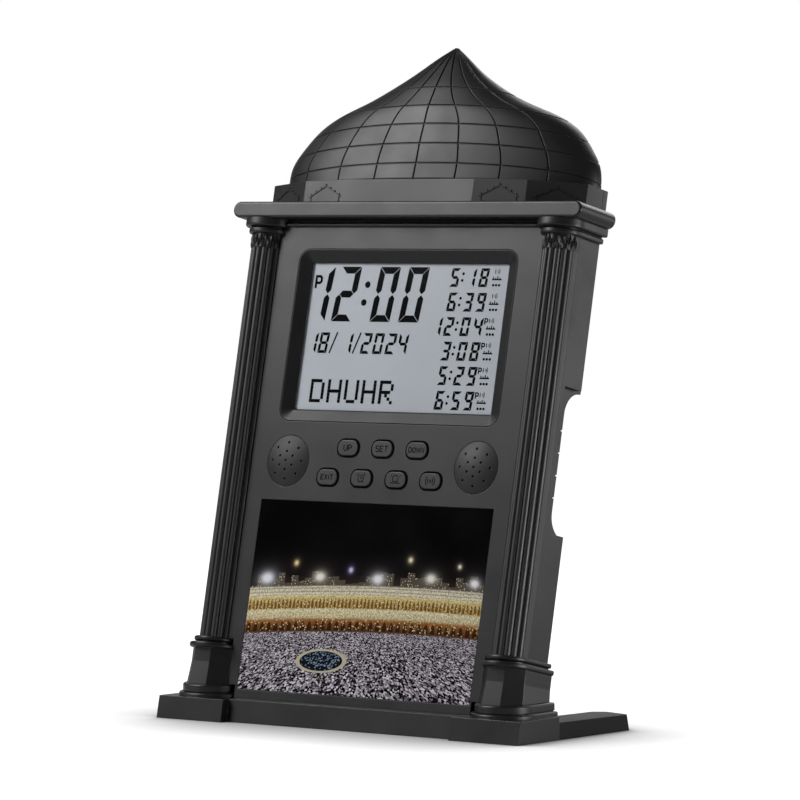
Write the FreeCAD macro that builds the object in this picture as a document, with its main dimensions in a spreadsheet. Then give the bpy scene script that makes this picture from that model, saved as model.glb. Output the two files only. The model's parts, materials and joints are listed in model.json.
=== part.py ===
"""Azan clock: a mosque-shaped desk clock that leans back on a plinth with two rear feet.

World frame: +Z up, the front looks along -Y, +X is the viewer's right. The origin lies on the
table, under the middle of the front panel. The whole housing leans back by lean_angle about the
X axis through the origin. Leaning pieces are drawn upright, with their front panel in the plane
y = 0, and their Placement leans them.
"""
import FreeCAD, Part
import math
import os
import re

import Sketcher

Vector = FreeCAD.Vector
SAME = 0.01  # places nearer than this, in millimetres, count as one

# ---------------------------------------------------------------------------------------------
# Driving dimensions, in millimetres and degrees
# ---------------------------------------------------------------------------------------------
DIMENSIONS = [
    ("lean_angle", 12, "how far the housing leans back"),
    ("fit", 0.3, "clearance round a piece that sits inside another"),
    ("seam", 0.15, "open line between the front and rear mouldings of the dome"),
    # Plinth
    ("plinth_half_width", 100, "ends of the plinth, from the middle"),
    ("cutter_reach", 60, "how far a trimming outline runs past what it trims"),
    ("plinth_height", 9.9, "top of the plinth, above the table"),
    ("plinth_front", 10.3, "front edge on the table, ahead of the panel"),
    ("plinth_back", 19.9, "rear face of the plinth, behind the panel's lower edge"),
    ("plinth_wall", 2.2, "wall of the hollow plinth"),
    ("plinth_step", 4.1, "how far the middle is set back between the corner blocks"),
    ("block_width", 36.9, "width of a corner block"),
    ("base_plate_thickness", 1.8, "plate that closes the plinth from below"),
    # Mouldings on the corner blocks
    ("moulding_y", 7.4, "middle of the round front, from the panel"),
    ("lower_moulding_reach", 15.5, "radius of its round front"),
    ("lower_moulding_height", 2, "lower moulding of a corner block"),
    ("upper_moulding_reach", 13.8, "radius of its round front"),
    ("upper_moulding_height", 3.4, "upper moulding of a corner block"),
    ("moulding_groove", 0.3, "height of the line between the two mouldings"),
    ("moulding_groove_depth", 0.6, "depth of that line"),
    ("moulding_overhang", 3.3, "how far the mouldings run past the back of the plinth"),
    ("moulding_edge", 0.9, "rounding of the moulding edges"),
    # Rear feet
    ("foot_width", 19.7, "width of a rear foot"),
    ("foot_point_reach", 77.8, "farthest point of the foot, behind the panel's lower edge"),
    ("foot_point_inset", 15, "that point, in from the outer side"),
    ("foot_outer_setback", 4.8, "outer corner, short of the farthest point"),
    ("foot_inner_setback", 3.6, "inner corner, short of the farthest point"),
    ("foot_height", 7.5, "at the plinth"),
    ("foot_tip_height", 6.9, "height at the far end, so the top slopes down"),
    ("foot_wall", 2, "wall of the hollow foot"),
    ("foot_end_wall", 4.2, "wall at the slanting end, on the table"),
    ("foot_end_slope", 14, "how far the end slopes in going up"),
    ("tongue_width", 12, "tongue that plugs into the plinth"),
    ("tongue_height", 3.6, "height of the tongue"),
    ("tongue_length", 5, "how far it reaches into the plinth"),
    # Housing
    ("side_reach", "=column_x + column_radius + side_lap", "outer face of the side walls"),
    ("side_wall", 2.2, "wall of the front shell's sides and top"),
    ("side_lap", 0.02, "side walls, outside the columns"),
    ("housing_depth", 19, "rear edge of the side walls, behind the panel face"),
    ("cover_back", 22.2, "rear face of the cover, behind the panel face"),
    ("housing_top", 226.9, "top of the housing, up the front"),
    ("panel_thickness", 2.4, "wall of the front panel"),
    ("cover_wall", 2, "wall of the rear cover"),
    ("notch_low", 91.5, "notch in the rear of each side wall"),
    ("notch_high", 155.5, "top of the notch"),
    ("notch_front", 6.7, "front edge of the notch, behind the panel face"),
    ("valley_low", 90.8, "valley across the rear cover"),
    ("valley_high", 154.5, "top of the valley"),
    ("valley_floor", 12, "floor of the valley, behind the panel face"),
    ("groove_first", 107.1, "lowest of the level grooves in the valley"),
    ("groove_pitch", 9.8, "from groove to groove"),
    ("groove_count", 4, "number of grooves"),
    ("groove_height", 0.6, "width of a groove"),
    ("groove_depth", 1, "depth of a groove"),
    ("zone_rise", 1.8, "how far the raised parts of the cover stand out"),
    ("neck_inset", 9.26, "upper raised part, in from the side walls; it carries the rear of the dome"),
    ("neck_half_width", "=side_reach - neck_inset", "half width of that part"),
    ("neck_low", 160, "lower edge of that part"),
    # Columns, pedestals and capitals
    ("column_inset", 18.7, "middle of the column, in from the end of the plinth"),
    ("column_x", "=plinth_half_width - column_inset", "middle of the column, from the middle of the front"),
    ("column_y", 2.24, "middle of the column, behind the panel face"),
    ("column_radius", 7.94, "over the reeds"),
    ("column_gap", 0.26, "between the column and the edge of the panel"),
    ("column_seat", 4.3, "flat behind the columns, from the panel face"),
    ("column_low", 36.4, "lower end of the reeds"),
    ("column_high", 213.9, "upper end of the reeds"),
    ("reed_radius", 1.45, "radius of one reed"),
    ("reed_count", 7, "reeds on one column"),
    ("reed_angle", 24, "from reed to reed"),
    ("core_radius", 6.9, "column inside the reeds"),
    ("pedestal_y", 4.4, "middle of the octagon"),
    ("pedestal_reach", 11, "octagon, from its middle to a flat"),
    ("pedestal_high", 31.3, "top of the eight-sided part"),
    ("pedestal_wall", 2.2, "wall of the hollow pedestal"),
    ("flare_height", 9, "splayed foot of the pedestal"),
    ("flare_angle", 5, "slope of the splayed foot"),
    ("pedestal_lower_ring_high", 33.6, "top of the lower ring"),
    ("pedestal_lower_ring_radius", 11.84, "radius of the lower ring"),
    ("pedestal_upper_ring_low", 34.3, "underside of the upper ring"),
    ("pedestal_upper_ring_radius", 10.1, "radius of the upper ring"),
    ("ring_core_radius", 8.8, "between two rings"),
    ("capital_lower_ring_low", 220.4, "underside of the capital's lower ring"),
    ("capital_lower_ring_high", 222.9, "top of the capital's lower ring"),
    ("capital_lower_ring_radius", 9.8, "radius of the capital's lower ring"),
    ("capital_upper_ring_low", 223.4, "underside of the capital's upper ring"),
    ("capital_upper_ring_radius", 11.7, "radius of the capital's upper ring"),
    ("ring_edge", 0.8, "rounding of the ring edges"),
    ("bead_low", 224, "half-round bead under the cornice"),
    ("bead_height", 2, "height of the bead"),
    ("bead_rise", 1.5, "how far the bead stands out from the panel"),
    # Cornice and drum
    ("cornice_overhang", 7.4, "past the side walls"),
    ("cornice_half_width", "=side_reach + cornice_overhang", "ends of the cornice, from the middle"),
    ("cornice_front", 8.1, "ahead of the panel"),
    ("cornice_back", 18.3, "rear edge of the cornice, behind the panel face"),
    ("cornice_height", 7.4, "thickness of the cornice"),
    ("cornice_edge", 1.1, "rounding of the front edges"),
    ("drum_height", 10.5, "height of the band under the dome"),
    ("drum_wall", 2, "wall of the drum"),
    ("drum_front", 5, "ahead of the panel"),
    ("drum_inset", 1.92, "side face of the drum, in from the side walls"),
    ("drum_side_x", "=side_reach - drum_inset", "side face of the drum"),
    ("drum_side_facet", 25.73, "width of the facet next to the side face"),
    ("drum_front_facet", 26.64, "width of the facet next to the front face"),
    ("drum_second_x", "=drum_side_x - drum_side_facet", "corner between the two facets"),
    ("drum_front_half_width", "=drum_second_x - drum_front_facet", "front face of the drum"),
    ("drum_wall_corner", 0.7, "setback of the inner side corner, in drum walls"),
    ("drum_wall_bevel", 0.3, "setback of the inner second corner, in drum walls"),
    ("drum_second_y", -1.75, "that corner, behind the panel face"),
    ("drum_side_y", 7.95, "front corner of the side face, behind the panel face"),
    ("drum_rear_corner_y", 23.2, "rear corner of the side face"),
    ("drum_rear_facet", 11.34, "width of the rear bevel"),
    ("drum_rear_half_width", "=drum_side_x - drum_rear_facet", "rear face of the drum"),
    ("drum_back_y", 31.5, "rear face of the drum, behind the panel face"),
    ("drum_rear_bevel", 0.5, "setback of the inner rear corners, in drum walls"),
    # Dome
    ("dome_inset", 1.34, "foot of the dome, in from the side face of the drum"),
    ("dome_half_width", "=drum_side_x - dome_inset", "at the foot"),
    ("parting_y", 20, "line between the front and rear mouldings, behind the panel face"),
    ("dome_wall", 2, "wall of the hollow dome"),
    ("dome_rear_ratio", 0.6, "depth of the rear half against the front half"),
    ("dome_room", 100, "height and depth of the boxes that part the two halves"),
    # Display
    ("bezel_inset", 20.3, "opening for the display frame, from the middle of a column"),
    ("bezel_half_width", "=column_x - bezel_inset", "half width of that opening"),
    ("bezel_low", 135.6, "lower edge of the opening"),
    ("bezel_high", 214.15, "upper edge of the opening"),
    ("bezel_corner", 6, "corner radius of the opening"),
    ("bezel_gap", 0.2, "between the frame and the opening"),
    ("bezel_lip", 0.4, "flat rim before the slope"),
    ("bezel_depth", 2.5, "how far the frame slopes in, to the window"),
    ("bezel_flange", 1.5, "behind the panel"),
    ("bezel_back", 3.4, "rear face of the frame, behind the panel face"),
    ("screen_inset", 6.4, "visible screen, in from the opening of the panel"),
    ("screen_half_width", "=bezel_half_width - screen_inset", "half width of the visible screen"),
    ("screen_low", 141.4, "lower edge of the visible screen"),
    ("screen_high", 208.1, "upper edge of the visible screen"),
    ("screen_corner", 0.4, "corner radius of the visible screen"),
    ("window_thickness", 0.8, "clear window in front of the display"),
    ("window_margin", 2, "window hidden behind the bezel"),
    ("display_thickness", 2, "liquid crystal panel"),
    ("display_margin", 4, "panel hidden behind the frame"),
    ("backlight_thickness", 3, "light panel behind the display"),
    ("board_thickness", 1.6, "circuit boards"),
    ("board_inset", 12.3, "end of the main board, from the middle of a column"),
    ("board_half_width", "=column_x - board_inset", "half width of the main board"),
    ("board_low", 160, "lower edge of the main board"),
    ("board_high", 212, "upper edge of the main board"),
    ("board_post_inset", 2.7, "post, in from the end of the board"),
    ("board_post_x", "=board_half_width - board_post_inset", "posts that carry the main board"),
    ("board_post_radius", 2.2, "radius of a post"),
    ("board_post_margin", 5, "post, in from the board's edge"),
    ("chip_size", 14, "side of the processor"),
    ("chip_thickness", 1.6, "height of the processor"),
    # Picture
    ("picture_inset", 17, "end of the picture, from the middle of a column"),
    ("picture_half_width", "=column_x - picture_inset", "half width of the picture"),
    ("picture_low", 14.4, "lower edge of the picture"),
    ("picture_high", 99.7, "upper edge of the picture"),
    ("picture_gap", 0.2, "between the picture and its recess"),
    ("picture_recess", 1, "depth of the recess"),
    ("picture_thickness", 0.9, "picture panel"),
    # Buttons
    ("button_width", 11.2, "width of a key cap"),
    ("button_height", 7, "height of a key cap"),
    ("button_corner", 3.2, "corner radius of a key cap"),
    ("button_gap", 0.35, "between a key cap and its opening"),
    ("button_rise", 0.7, "above the panel"),
    ("button_travel", 0.8, "how far a key goes in"),
    ("button_share", 0.23493, "pitch of the buttons against column_x"),
    ("button_pitch", "=column_x * button_share", "from button to button in a row"),
    ("button_upper_row", 124.26, "middle of the upper row"),
    ("button_lower_row", 110.83, "middle of the lower row"),
    ("button_flange", 1, "how far the flange of a key stands out"),
    ("button_flange_thickness", 0.8, "thickness of that flange"),
    ("keypad_half_width", "=speaker_offset - grille_flange_radius - keypad_gap", "rubber keypad"),
    ("keypad_gap", 1.7, "between the keypad and the speakers"),
    ("keypad_low", 101.5, "lower edge of the keypad"),
    ("keypad_high", 131, "upper edge of the keypad"),
    ("keypad_thickness", 0.8, "rubber sheet"),
    ("key_post_inset", 4, "post, in from the end of the keypad"),
    ("key_post_x", "=keypad_half_width - key_post_inset", "posts that carry the key board"),
    ("key_post_low", 104, "lower pair of posts"),
    ("key_post_high", 128.6, "upper pair of posts"),
    ("key_post_radius", 1.8, "radius of a post"),
    # Speakers
    ("speaker_share", 0.64207, "place of the speakers against column_x"),
    ("speaker_offset", "=column_x * speaker_share", "middle of the speaker, from the middle of the front"),
    ("speaker_middle", "=(button_upper_row + button_lower_row) / 2", "level with the middle of the buttons"),
    ("grille_radius", 11.6, "radius of the grille in the panel"),
    ("grille_rise", 2, "how far the grille bulges out"),
    ("grille_wall", 1.2, "wall of the grille"),
    ("grille_flange_radius", 13.5, "flange behind the panel"),
    ("grille_flange_thickness", 1, "thickness of the flange"),
    ("grille_hole_radius", 0.55, "radius of a sound hole"),
    ("grille_inner_ring", 4.1, "radius of the inner ring of holes"),
    ("grille_inner_count", 6, "holes in the inner ring"),
    ("grille_outer_ring", 8.2, "radius of the outer ring of holes"),
    ("grille_outer_count", 8, "holes in the outer ring"),
    ("speaker_depth", 5.4, "depth of the loudspeaker"),
    ("speaker_magnet_radius", 7, "radius of its magnet"),
    # Batteries
    ("cell_diameter", 14.5, "AA cell"),
    ("cell_length", 50.5, "AA cell, with its nub"),
    ("cell_nub_length", 1.5, "length of the nub"),
    ("cell_nub_radius", 2.75, "radius of the nub"),
    ("cell_pitch", 15.2, "from cell to cell"),
    ("cell_count", 3, "number of cells"),
    ("contact_room", 4.5, "between a cell end and the tray"),
    ("contact_thickness", 0.5, "sheet of the contact strip"),
    ("contact_half_width", 4, "half width of the strip"),
    ("spring_radius", 3.2, "coned spring at its base"),
    ("spring_tip_radius", 2, "coned spring at its tip"),
    ("tray_low", 26, "lower inner face of the battery tray"),
    ("tray_wall", 2.5, "wall of the tray"),
    ("tray_ledge", 1, "how far the tray reaches under the door"),
    ("door_thickness", 1.8, "battery door"),
    ("door_gap", 0.3, "between the door and its opening"),
    ("door_tongue_x", 17, "middle of a tongue of the door"),
    ("door_tongue_width", 5.4, "width of a tongue"),
    ("door_tongue_thickness", 1.2, "thickness of a tongue"),
    ("door_tongue_length", 1.7, "how far a tongue reaches under the cover"),
    ("zone_margin", 4, "raised part round the door opening"),
    # Screw bosses of the cover
    ("boss_inset", 11.06, "from the outer face of the side wall"),
    ("boss_x", "=side_reach - boss_inset", "middle of a screw boss"),
    ("boss_radius", 3.2, "radius of a boss"),
    ("boss_hole_radius", 1.2, "hole for the screw"),
    ("boss_low", 60, "lower pair of bosses"),
    ("boss_high", 80, "upper pair of bosses"),
    ("screw_head_radius", 3.1, "head of a cover screw"),
    ("screw_head_depth", 1, "recess for the screw head"),
]

# Height up the front, half width, middle and front depth of the dome's oval sections,
# as they are while the foot of the dome has the first half width
DOME_SECTIONS = [
    (244.8, 86.0, 19.0, 22.6),
    (254.0, 85.0, 18.3, 20.9),
    (262.0, 80.1, 18.3, 20.2),
    (270.0, 73.0, 18.4, 19.0),
    (277.0, 61.7, 17.5, 17.0),
    (283.0, 45.2, 15.0, 12.6),
    (290.0, 30.1, 13.9, 8.8),
    (298.0, 16.9, 14.2, 5.2),
    (304.5, 8.0, 15.2, 2.6),
    (309.2, 1.0, 16.4, 0.6),
]

doc = FreeCAD.newDocument("azan_clock")
sheet = doc.addObject("Spreadsheet::Sheet", "dims")
for row, (name, number, meaning) in enumerate(DIMENSIONS, start=1):
    sheet.set("A%d" % row, name)
    sheet.set("B%d" % row, str(number))
    sheet.set("C%d" % row, meaning)
    sheet.setAlias("B%d" % row, name)
doc.recompute()
ALIASES = {name for name, number, meaning in DIMENSIONS}


# ---------------------------------------------------------------------------------------------
# Expressions and sketches
# ---------------------------------------------------------------------------------------------
def bind(expression):
    """An expression over sheet names, written as FreeCAD wants it."""
    def with_sheet(match):
        word = match.group()
        return "dims." + word if word in ALIASES else word
    return re.sub(r"[a-z_][a-z0-9_]*", with_sheet, str(expression))


def size(expression):
    """The present number of an expression over sheet names."""
    return float(sheet.evalExpression(bind(expression)))


def level(height, depth):
    """How far up the front a level plane lies, at a depth behind the panel face."""
    lean = "lean_angle * 1deg"
    return "(((%s) + (%s) * sin(%s)) / cos(%s))" % (height, depth, lean, lean)


def new_body(label, leaning=True):
    """An empty body. A leaning one is turned back about the X axis."""
    body = doc.addObject("PartDesign::Body", label)
    body.Label = label
    if leaning:
        body.Placement = FreeCAD.Placement(Vector(), FreeCAD.Rotation(Vector(-1, 0, 0), size("lean_angle")))
        body.setExpression("Placement.Rotation.Angle", bind("lean_angle"))
    return body


PLANE_ACROSS = {"x": "YZ_Plane", "y": "XZ_Plane", "z": "XY_Plane"}


def origin_plane(body, axis):
    """The body's own origin plane across an axis."""
    role = PLANE_ACROSS[axis]
    return next(feature for feature in body.Origin.OriginFeatures if feature.Role == role)


def rectangle(left, low, right, high):
    """Corners of a rectangle."""
    return [(left, low), (right, low), (right, high), (left, high)]


def rounded_rectangle(left, low, right, high, corner):
    """Corners of a rectangle with quarter-round corners."""
    in_left = "(%s) + (%s)" % (left, corner)
    in_right = "(%s) - (%s)" % (right, corner)
    in_low = "(%s) + (%s)" % (low, corner)
    in_high = "(%s) - (%s)" % (high, corner)
    return [
        (in_left, low),
        (in_right, low, in_right, in_low, 1),
        (right, in_low),
        (right, in_high, in_right, in_high, 1),
        (in_right, high),
        (in_left, high, in_left, in_high, 1),
        (left, in_high),
        (left, in_low, in_left, in_low, 1),
    ]


def octagon_front(reach, middle_x, middle_y, back):
    """An octagon whose front half is kept and whose sides run straight back."""
    flat = "((%s) * tan(22.5deg))" % reach
    near = "(%s) - %s" % (middle_y, flat)
    return [
        ("(%s) - (%s)" % (middle_x, reach), back),
        ("(%s) - (%s)" % (middle_x, reach), near),
        ("(%s) - %s" % (middle_x, flat), "(%s) - (%s)" % (middle_y, reach)),
        ("(%s) + %s" % (middle_x, flat), "(%s) - (%s)" % (middle_y, reach)),
        ("(%s) + (%s)" % (middle_x, reach), near),
        ("(%s) + (%s)" % (middle_x, reach), back),
    ]


def round_front(radius, middle_x, middle_y, back):
    """A plan with a half-round front and sides that run straight back."""
    return [
        ("%s - %s" % (middle_x, radius), back),
        ("%s - %s" % (middle_x, radius), middle_y, middle_x, middle_y, 1),
        ("%s + %s" % (middle_x, radius), middle_y),
        ("%s + %s" % (middle_x, radius), back),
    ]


def mirrored(corners):
    """The same outline on the other side of the middle."""
    flipped = []
    for corner in corners:
        if len(corner) == 2:
            flipped.append(("-(%s)" % corner[0], corner[1]))
        else:
            flipped.append(("-(%s)" % corner[0], corner[1], "-(%s)" % corner[2], corner[3], -corner[4]))
    return flipped


def place_point(drawing, geometry, position, across, along):
    """Tie a point of a sketch to two expressions."""
    for kind, expression in (("DistanceX", across), ("DistanceY", along)):
        datum = Sketcher.Constraint(kind, -1, 1, geometry, position, size(expression))
        index = drawing.addConstraint(datum)
        drawing.setExpression("Constraints[%d]" % index, bind(expression))


def draw_circle(drawing, across, along, radius):
    """A circle tied to its middle and radius."""
    middle = Vector(size(across), size(along), 0)
    index = drawing.addGeometry(Part.Circle(middle, Vector(0, 0, 1), size(radius)), False)
    place_point(drawing, index, 3, across, along)
    datum = drawing.addConstraint(Sketcher.Constraint("Radius", index, size(radius)))
    drawing.setExpression("Constraints[%d]" % datum, bind(radius))


def draw_outline(drawing, corners):
    """A closed outline. A corner with five fields starts an arc about a middle, turning +1 or -1."""
    points = [Vector(size(corner[0]), size(corner[1]), 0) for corner in corners]
    starts = []
    ends = []
    arcs = []
    for number, corner in enumerate(corners):
        here = points[number]
        there = points[(number + 1) % len(points)]
        if len(corner) == 2:
            index = drawing.addGeometry(Part.LineSegment(here, there), False)
            starts.append((index, 1))
            ends.append((index, 2))
            continue
        middle = Vector(size(corner[2]), size(corner[3]), 0)
        turn = corner[4]
        first, last = (here, there) if turn > 0 else (there, here)
        circle = Part.Circle(middle, Vector(0, 0, 1), (here - middle).Length)
        arc = Part.ArcOfCircle(circle, circle.parameter(first), circle.parameter(last))
        index = drawing.addGeometry(arc, False)
        starts.append((index, 1 if turn > 0 else 2))
        ends.append((index, 2 if turn > 0 else 1))
        arcs.append((index, corner, there - here))
    for number in range(len(corners)):
        following = (number + 1) % len(corners)
        drawing.addConstraint(Sketcher.Constraint("Coincident", *ends[number], *starts[following]))
    for number, corner in enumerate(corners):
        place_point(drawing, *starts[number], corner[0], corner[1])
    for index, corner, chord in arcs:
        sideways = abs(chord.y) >= abs(chord.x)
        kind = "DistanceX" if sideways else "DistanceY"
        expression = corner[2] if sideways else corner[3]
        datum = drawing.addConstraint(Sketcher.Constraint(kind, -1, 1, index, 3, size(expression)))
        drawing.setExpression("Constraints[%d]" % datum, bind(expression))


def draw(body, axis, at, outlines, origin=("0", "0")):
    """A sketch across an axis of the body, at a distance along that axis."""
    drawing = body.newObject("Sketcher::SketchObject", "outline")
    drawing.AttachmentSupport = [(origin_plane(body, axis), "")]
    drawing.MapMode = "FlatFace"
    offset = "-(%s)" % at if axis == "y" else at
    drawing.setExpression("AttachmentOffset.Base.x", bind(origin[0]))
    drawing.setExpression("AttachmentOffset.Base.y", bind(origin[1]))
    drawing.setExpression("AttachmentOffset.Base.z", bind(offset))
    for outline in outlines:
        if isinstance(outline, tuple):
            draw_circle(drawing, *outline)
        else:
            draw_outline(drawing, outline)
    return drawing


def add(body, axis, low, high, *outlines, origin=("0", "0")):
    """Material between two distances along an axis."""
    drawing = draw(body, axis, high if axis == "y" else low, outlines, origin)
    pad = body.newObject("PartDesign::Pad", "pad")
    pad.Profile = drawing
    pad.setExpression("Length", bind("(%s) - (%s)" % (high, low)))
    return pad


def cut(body, axis, low, high, *outlines, origin=("0", "0")):
    """An opening between two distances along an axis."""
    drawing = draw(body, axis, low if axis == "y" else high, outlines, origin)
    pocket = body.newObject("PartDesign::Pocket", "pocket")
    pocket.Profile = drawing
    pocket.setExpression("Length", bind("(%s) - (%s)" % (high, low)))
    return pocket


def cut_sides(body, low, high, *outlines):
    """The same opening through the right and the left side."""
    cut(body, "x", low, high, *outlines)
    cut(body, "x", "-(%s)" % high, "-(%s)" % low, *outlines)


def revolve(body, axis, at, origin, outline, about="H_Axis"):
    """Material turned about an axis of its sketch."""
    drawing = draw(body, axis, at, [outline], origin)
    turned = body.newObject("PartDesign::Revolution", "turned")
    turned.Profile = drawing
    turned.ReferenceAxis = (drawing, [about])
    turned.Angle = 360
    return turned


def repeat_round(body, feature, count, angle):
    """Copies of a feature about the middle of its sketch, over an angle."""
    pattern = body.newObject("PartDesign::PolarPattern", "ring_of")
    pattern.Originals = [feature]
    pattern.Axis = (feature.Profile[0], ["N_Axis"])
    pattern.setExpression("Angle", bind(angle))
    pattern.setExpression("Occurrences", bind(count))
    body.Tip = pattern
    return pattern


def round_edges(body, radius, chosen):
    """Round the edges of the body's last feature whose middle passes a test."""
    doc.recompute()
    base = body.Tip
    names = []
    for number, edge in enumerate(base.Shape.Edges, start=1):
        if chosen(edge):
            names.append("Edge%d" % number)
    fillet = body.newObject("PartDesign::Fillet", "rounding")
    fillet.Base = (base, names)
    fillet.setExpression("Radius", bind(radius))
    body.Tip = fillet
    return fillet


def slope_faces(body, angle, chosen):
    """Slope the faces that pass a test, from where they meet the table."""
    doc.recompute()
    base = body.Tip
    names = []
    for number, face in enumerate(base.Shape.Faces, start=1):
        if chosen(face):
            names.append("Face%d" % number)
    draft = body.newObject("PartDesign::Draft", "sloped")
    draft.Base = (base, names)
    draft.NeutralPlane = (origin_plane(body, "z"), [""])
    draft.setExpression("Angle", bind(angle))
    body.Tip = draft
    return draft


pieces = []


def keep(piece):
    """List a finished piece for export."""
    pieces.append(piece)
    return piece


def keep_pair(body, name):
    """Keep a right-hand piece and its mirror image on the left."""
    keep(body)
    twin = doc.addObject("Part::Mirroring", name + "_left")
    twin.Label = name + "_left"
    twin.Source = body
    twin.Normal = Vector(1, 0, 0)
    return keep(twin)


# ---------------------------------------------------------------------------------------------
# Plinth, base plate and rear feet: upright pieces
# ---------------------------------------------------------------------------------------------
MOULDINGS_HIGH = "(plinth_height + lower_moulding_height + moulding_groove + upper_moulding_height)"
MOULDING_BACK = "(plinth_back + moulding_overhang)"
FOOT_INNER_X = "(plinth_half_width - foot_width)"
FOOT_OUTER_REACH = "(foot_point_reach - foot_outer_setback)"
FOOT_INNER_REACH = "(foot_point_reach - foot_inner_setback)"


def plinth_face(inset, height):
    """How far back the sloping front of the plinth lies, at a height."""
    return "(-plinth_front + (%s) + (%s) * tan(lean_angle * 1deg))" % (inset, height)


def plinth_slab(inset, low, high, back):
    """Side outline of a slab whose front follows the plinth's sloping front."""
    return [
        (plinth_face(inset, low), low),
        (back, low),
        (back, high),
        (plinth_face(inset, high), high),
    ]


def make_plinth():
    """Hollow plinth with corner blocks, the mouldings on them and sockets for the feet."""
    body = new_body("plinth", leaning=False)
    reach = "plinth_half_width"
    block_inner = "(plinth_half_width - block_width)"
    roof = "(plinth_height - plinth_wall)"
    inner_back = "(plinth_back - plinth_wall)"
    add(body, "x", "-" + reach, reach, plinth_slab("0", "0", "plinth_height", "plinth_back"))
    step = [
        ("-plinth_front - 1", "-1"),
        (plinth_face("plinth_step", "-1"), "-1"),
        (plinth_face("plinth_step", "plinth_height + 1"), "plinth_height + 1"),
        ("-plinth_front - 1", "plinth_height + 1"),
    ]
    cut(body, "x", "-" + block_inner, block_inner, step)
    layers = [
        ("plinth_height", MOULDINGS_HIGH, "(upper_moulding_reach - moulding_groove_depth)"),
        ("plinth_height", "plinth_height + lower_moulding_height", "lower_moulding_reach"),
        (MOULDINGS_HIGH + " - upper_moulding_height", MOULDINGS_HIGH, "upper_moulding_reach"),
    ]
    for low, high, reach_of_layer in layers:
        outline = round_front(reach_of_layer, "column_x", "moulding_y", MOULDING_BACK)
        add(body, "z", low, high, outline, mirrored(outline))
    round_edges(body, "moulding_edge", is_moulding_edge)
    hollow = plinth_slab("plinth_step + plinth_wall", "0", roof, inner_back)
    cut(body, "x", "-(%s - plinth_wall)" % reach, reach + " - plinth_wall", hollow)
    corner = plinth_slab("plinth_wall", "0", roof, "0")
    cut_sides(body, block_inner + " + plinth_wall", reach + " - plinth_wall", corner)
    inside = round_front("(upper_moulding_reach - 2 * plinth_wall)", "column_x", "moulding_y", inner_back)
    cut(body, "z", "-1", MOULDINGS_HIGH + " - plinth_wall", inside, mirrored(inside))
    socket = rectangle(
        FOOT_INNER_X + " + (foot_width - tongue_width) / 2 - fit",
        "base_plate_thickness",
        "plinth_half_width - (foot_width - tongue_width) / 2 + fit",
        "base_plate_thickness + tongue_height + 2 * fit",
    )
    cut(body, "y", inner_back + " - 1", "plinth_back + 1", socket, mirrored(socket))
    return keep(body)


def is_moulding_edge(edge):
    """Level edges along the top of both mouldings, on their outer outline."""
    if edge.BoundBox.ZLength > SAME:
        return False
    middle = edge.valueAt((edge.FirstParameter + edge.LastParameter) / 2)
    across = abs(abs(middle.x) - size("column_x"))
    ahead = max(size("moulding_y") - middle.y, 0)
    from_middle = math.hypot(across, ahead)
    tops = (
        ("plinth_height + lower_moulding_height", "lower_moulding_reach"),
        (MOULDINGS_HIGH, "upper_moulding_reach"),
    )
    on_outline = any(
        abs(middle.z - size(top)) < SAME and abs(from_middle - size(reach)) < SAME for top, reach in tops
    )
    return on_outline and middle.y < size(MOULDING_BACK) - SAME


def make_base_plate():
    """Plate that closes the plinth from below, flush with its rim."""
    body = new_body("base_plate", leaning=False)
    edge = "(plinth_half_width - plinth_wall - fit)"
    slab = plinth_slab(
        "plinth_step + plinth_wall + fit", "0", "base_plate_thickness", "plinth_back - plinth_wall - fit"
    )
    add(body, "x", "-" + edge, edge, slab)
    return keep(body)


def make_foot():
    """Hollow rear foot with a slanting tip and a tongue that plugs into the plinth."""
    body = new_body("rear_foot_right", leaning=False)
    point_x = "plinth_half_width - foot_point_inset"
    plan = [
        (FOOT_INNER_X, "plinth_back"),
        ("plinth_half_width", "plinth_back"),
        ("plinth_half_width", FOOT_OUTER_REACH),
        (point_x, "foot_point_reach"),
        (FOOT_INNER_X, FOOT_INNER_REACH),
    ]
    add(body, "z", "0", "foot_height", plan)
    slope = [
        ("plinth_back", "foot_height"),
        ("foot_point_reach + 1", "foot_tip_height"),
        ("foot_point_reach + 1", "foot_height + 1"),
        ("plinth_back", "foot_height + 1"),
    ]
    cut(body, "x", FOOT_INNER_X + " - 1", "plinth_half_width + 1", slope)
    slope_faces(body, "foot_end_slope", is_foot_end)
    round_edges(body, "foot_wall", is_foot_corner)
    inside = [
        (FOOT_INNER_X + " + foot_wall", "plinth_back + foot_wall"),
        ("plinth_half_width - foot_wall", "plinth_back + foot_wall"),
        ("plinth_half_width - foot_wall", FOOT_OUTER_REACH + " - foot_end_wall"),
        (point_x, "foot_point_reach - foot_end_wall"),
        (FOOT_INNER_X + " + foot_wall", FOOT_INNER_REACH + " - foot_end_wall"),
    ]
    cut(body, "z", "-1", "foot_tip_height - foot_wall", inside)
    tongue = rectangle(
        FOOT_INNER_X + " + (foot_width - tongue_width) / 2",
        "base_plate_thickness + fit",
        "plinth_half_width - (foot_width - tongue_width) / 2",
        "base_plate_thickness + fit + tongue_height",
    )
    add(body, "y", "plinth_back - tongue_length", "plinth_back", tongue)
    keep_pair(body, "rear_foot")


def is_foot_end(face):
    """The two slanting faces at the far end of a foot."""
    upright = face.BoundBox.ZLength > size("foot_height / 2")
    return upright and face.BoundBox.YMin > size(FOOT_OUTER_REACH) - SAME


def is_foot_corner(edge):
    """Upright edges at the far end of a foot."""
    box = edge.BoundBox
    upright = box.YLength < size("foot_height") and box.ZLength > size("foot_height / 2")
    return upright and box.YMax > size(FOOT_OUTER_REACH) - SAME


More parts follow.
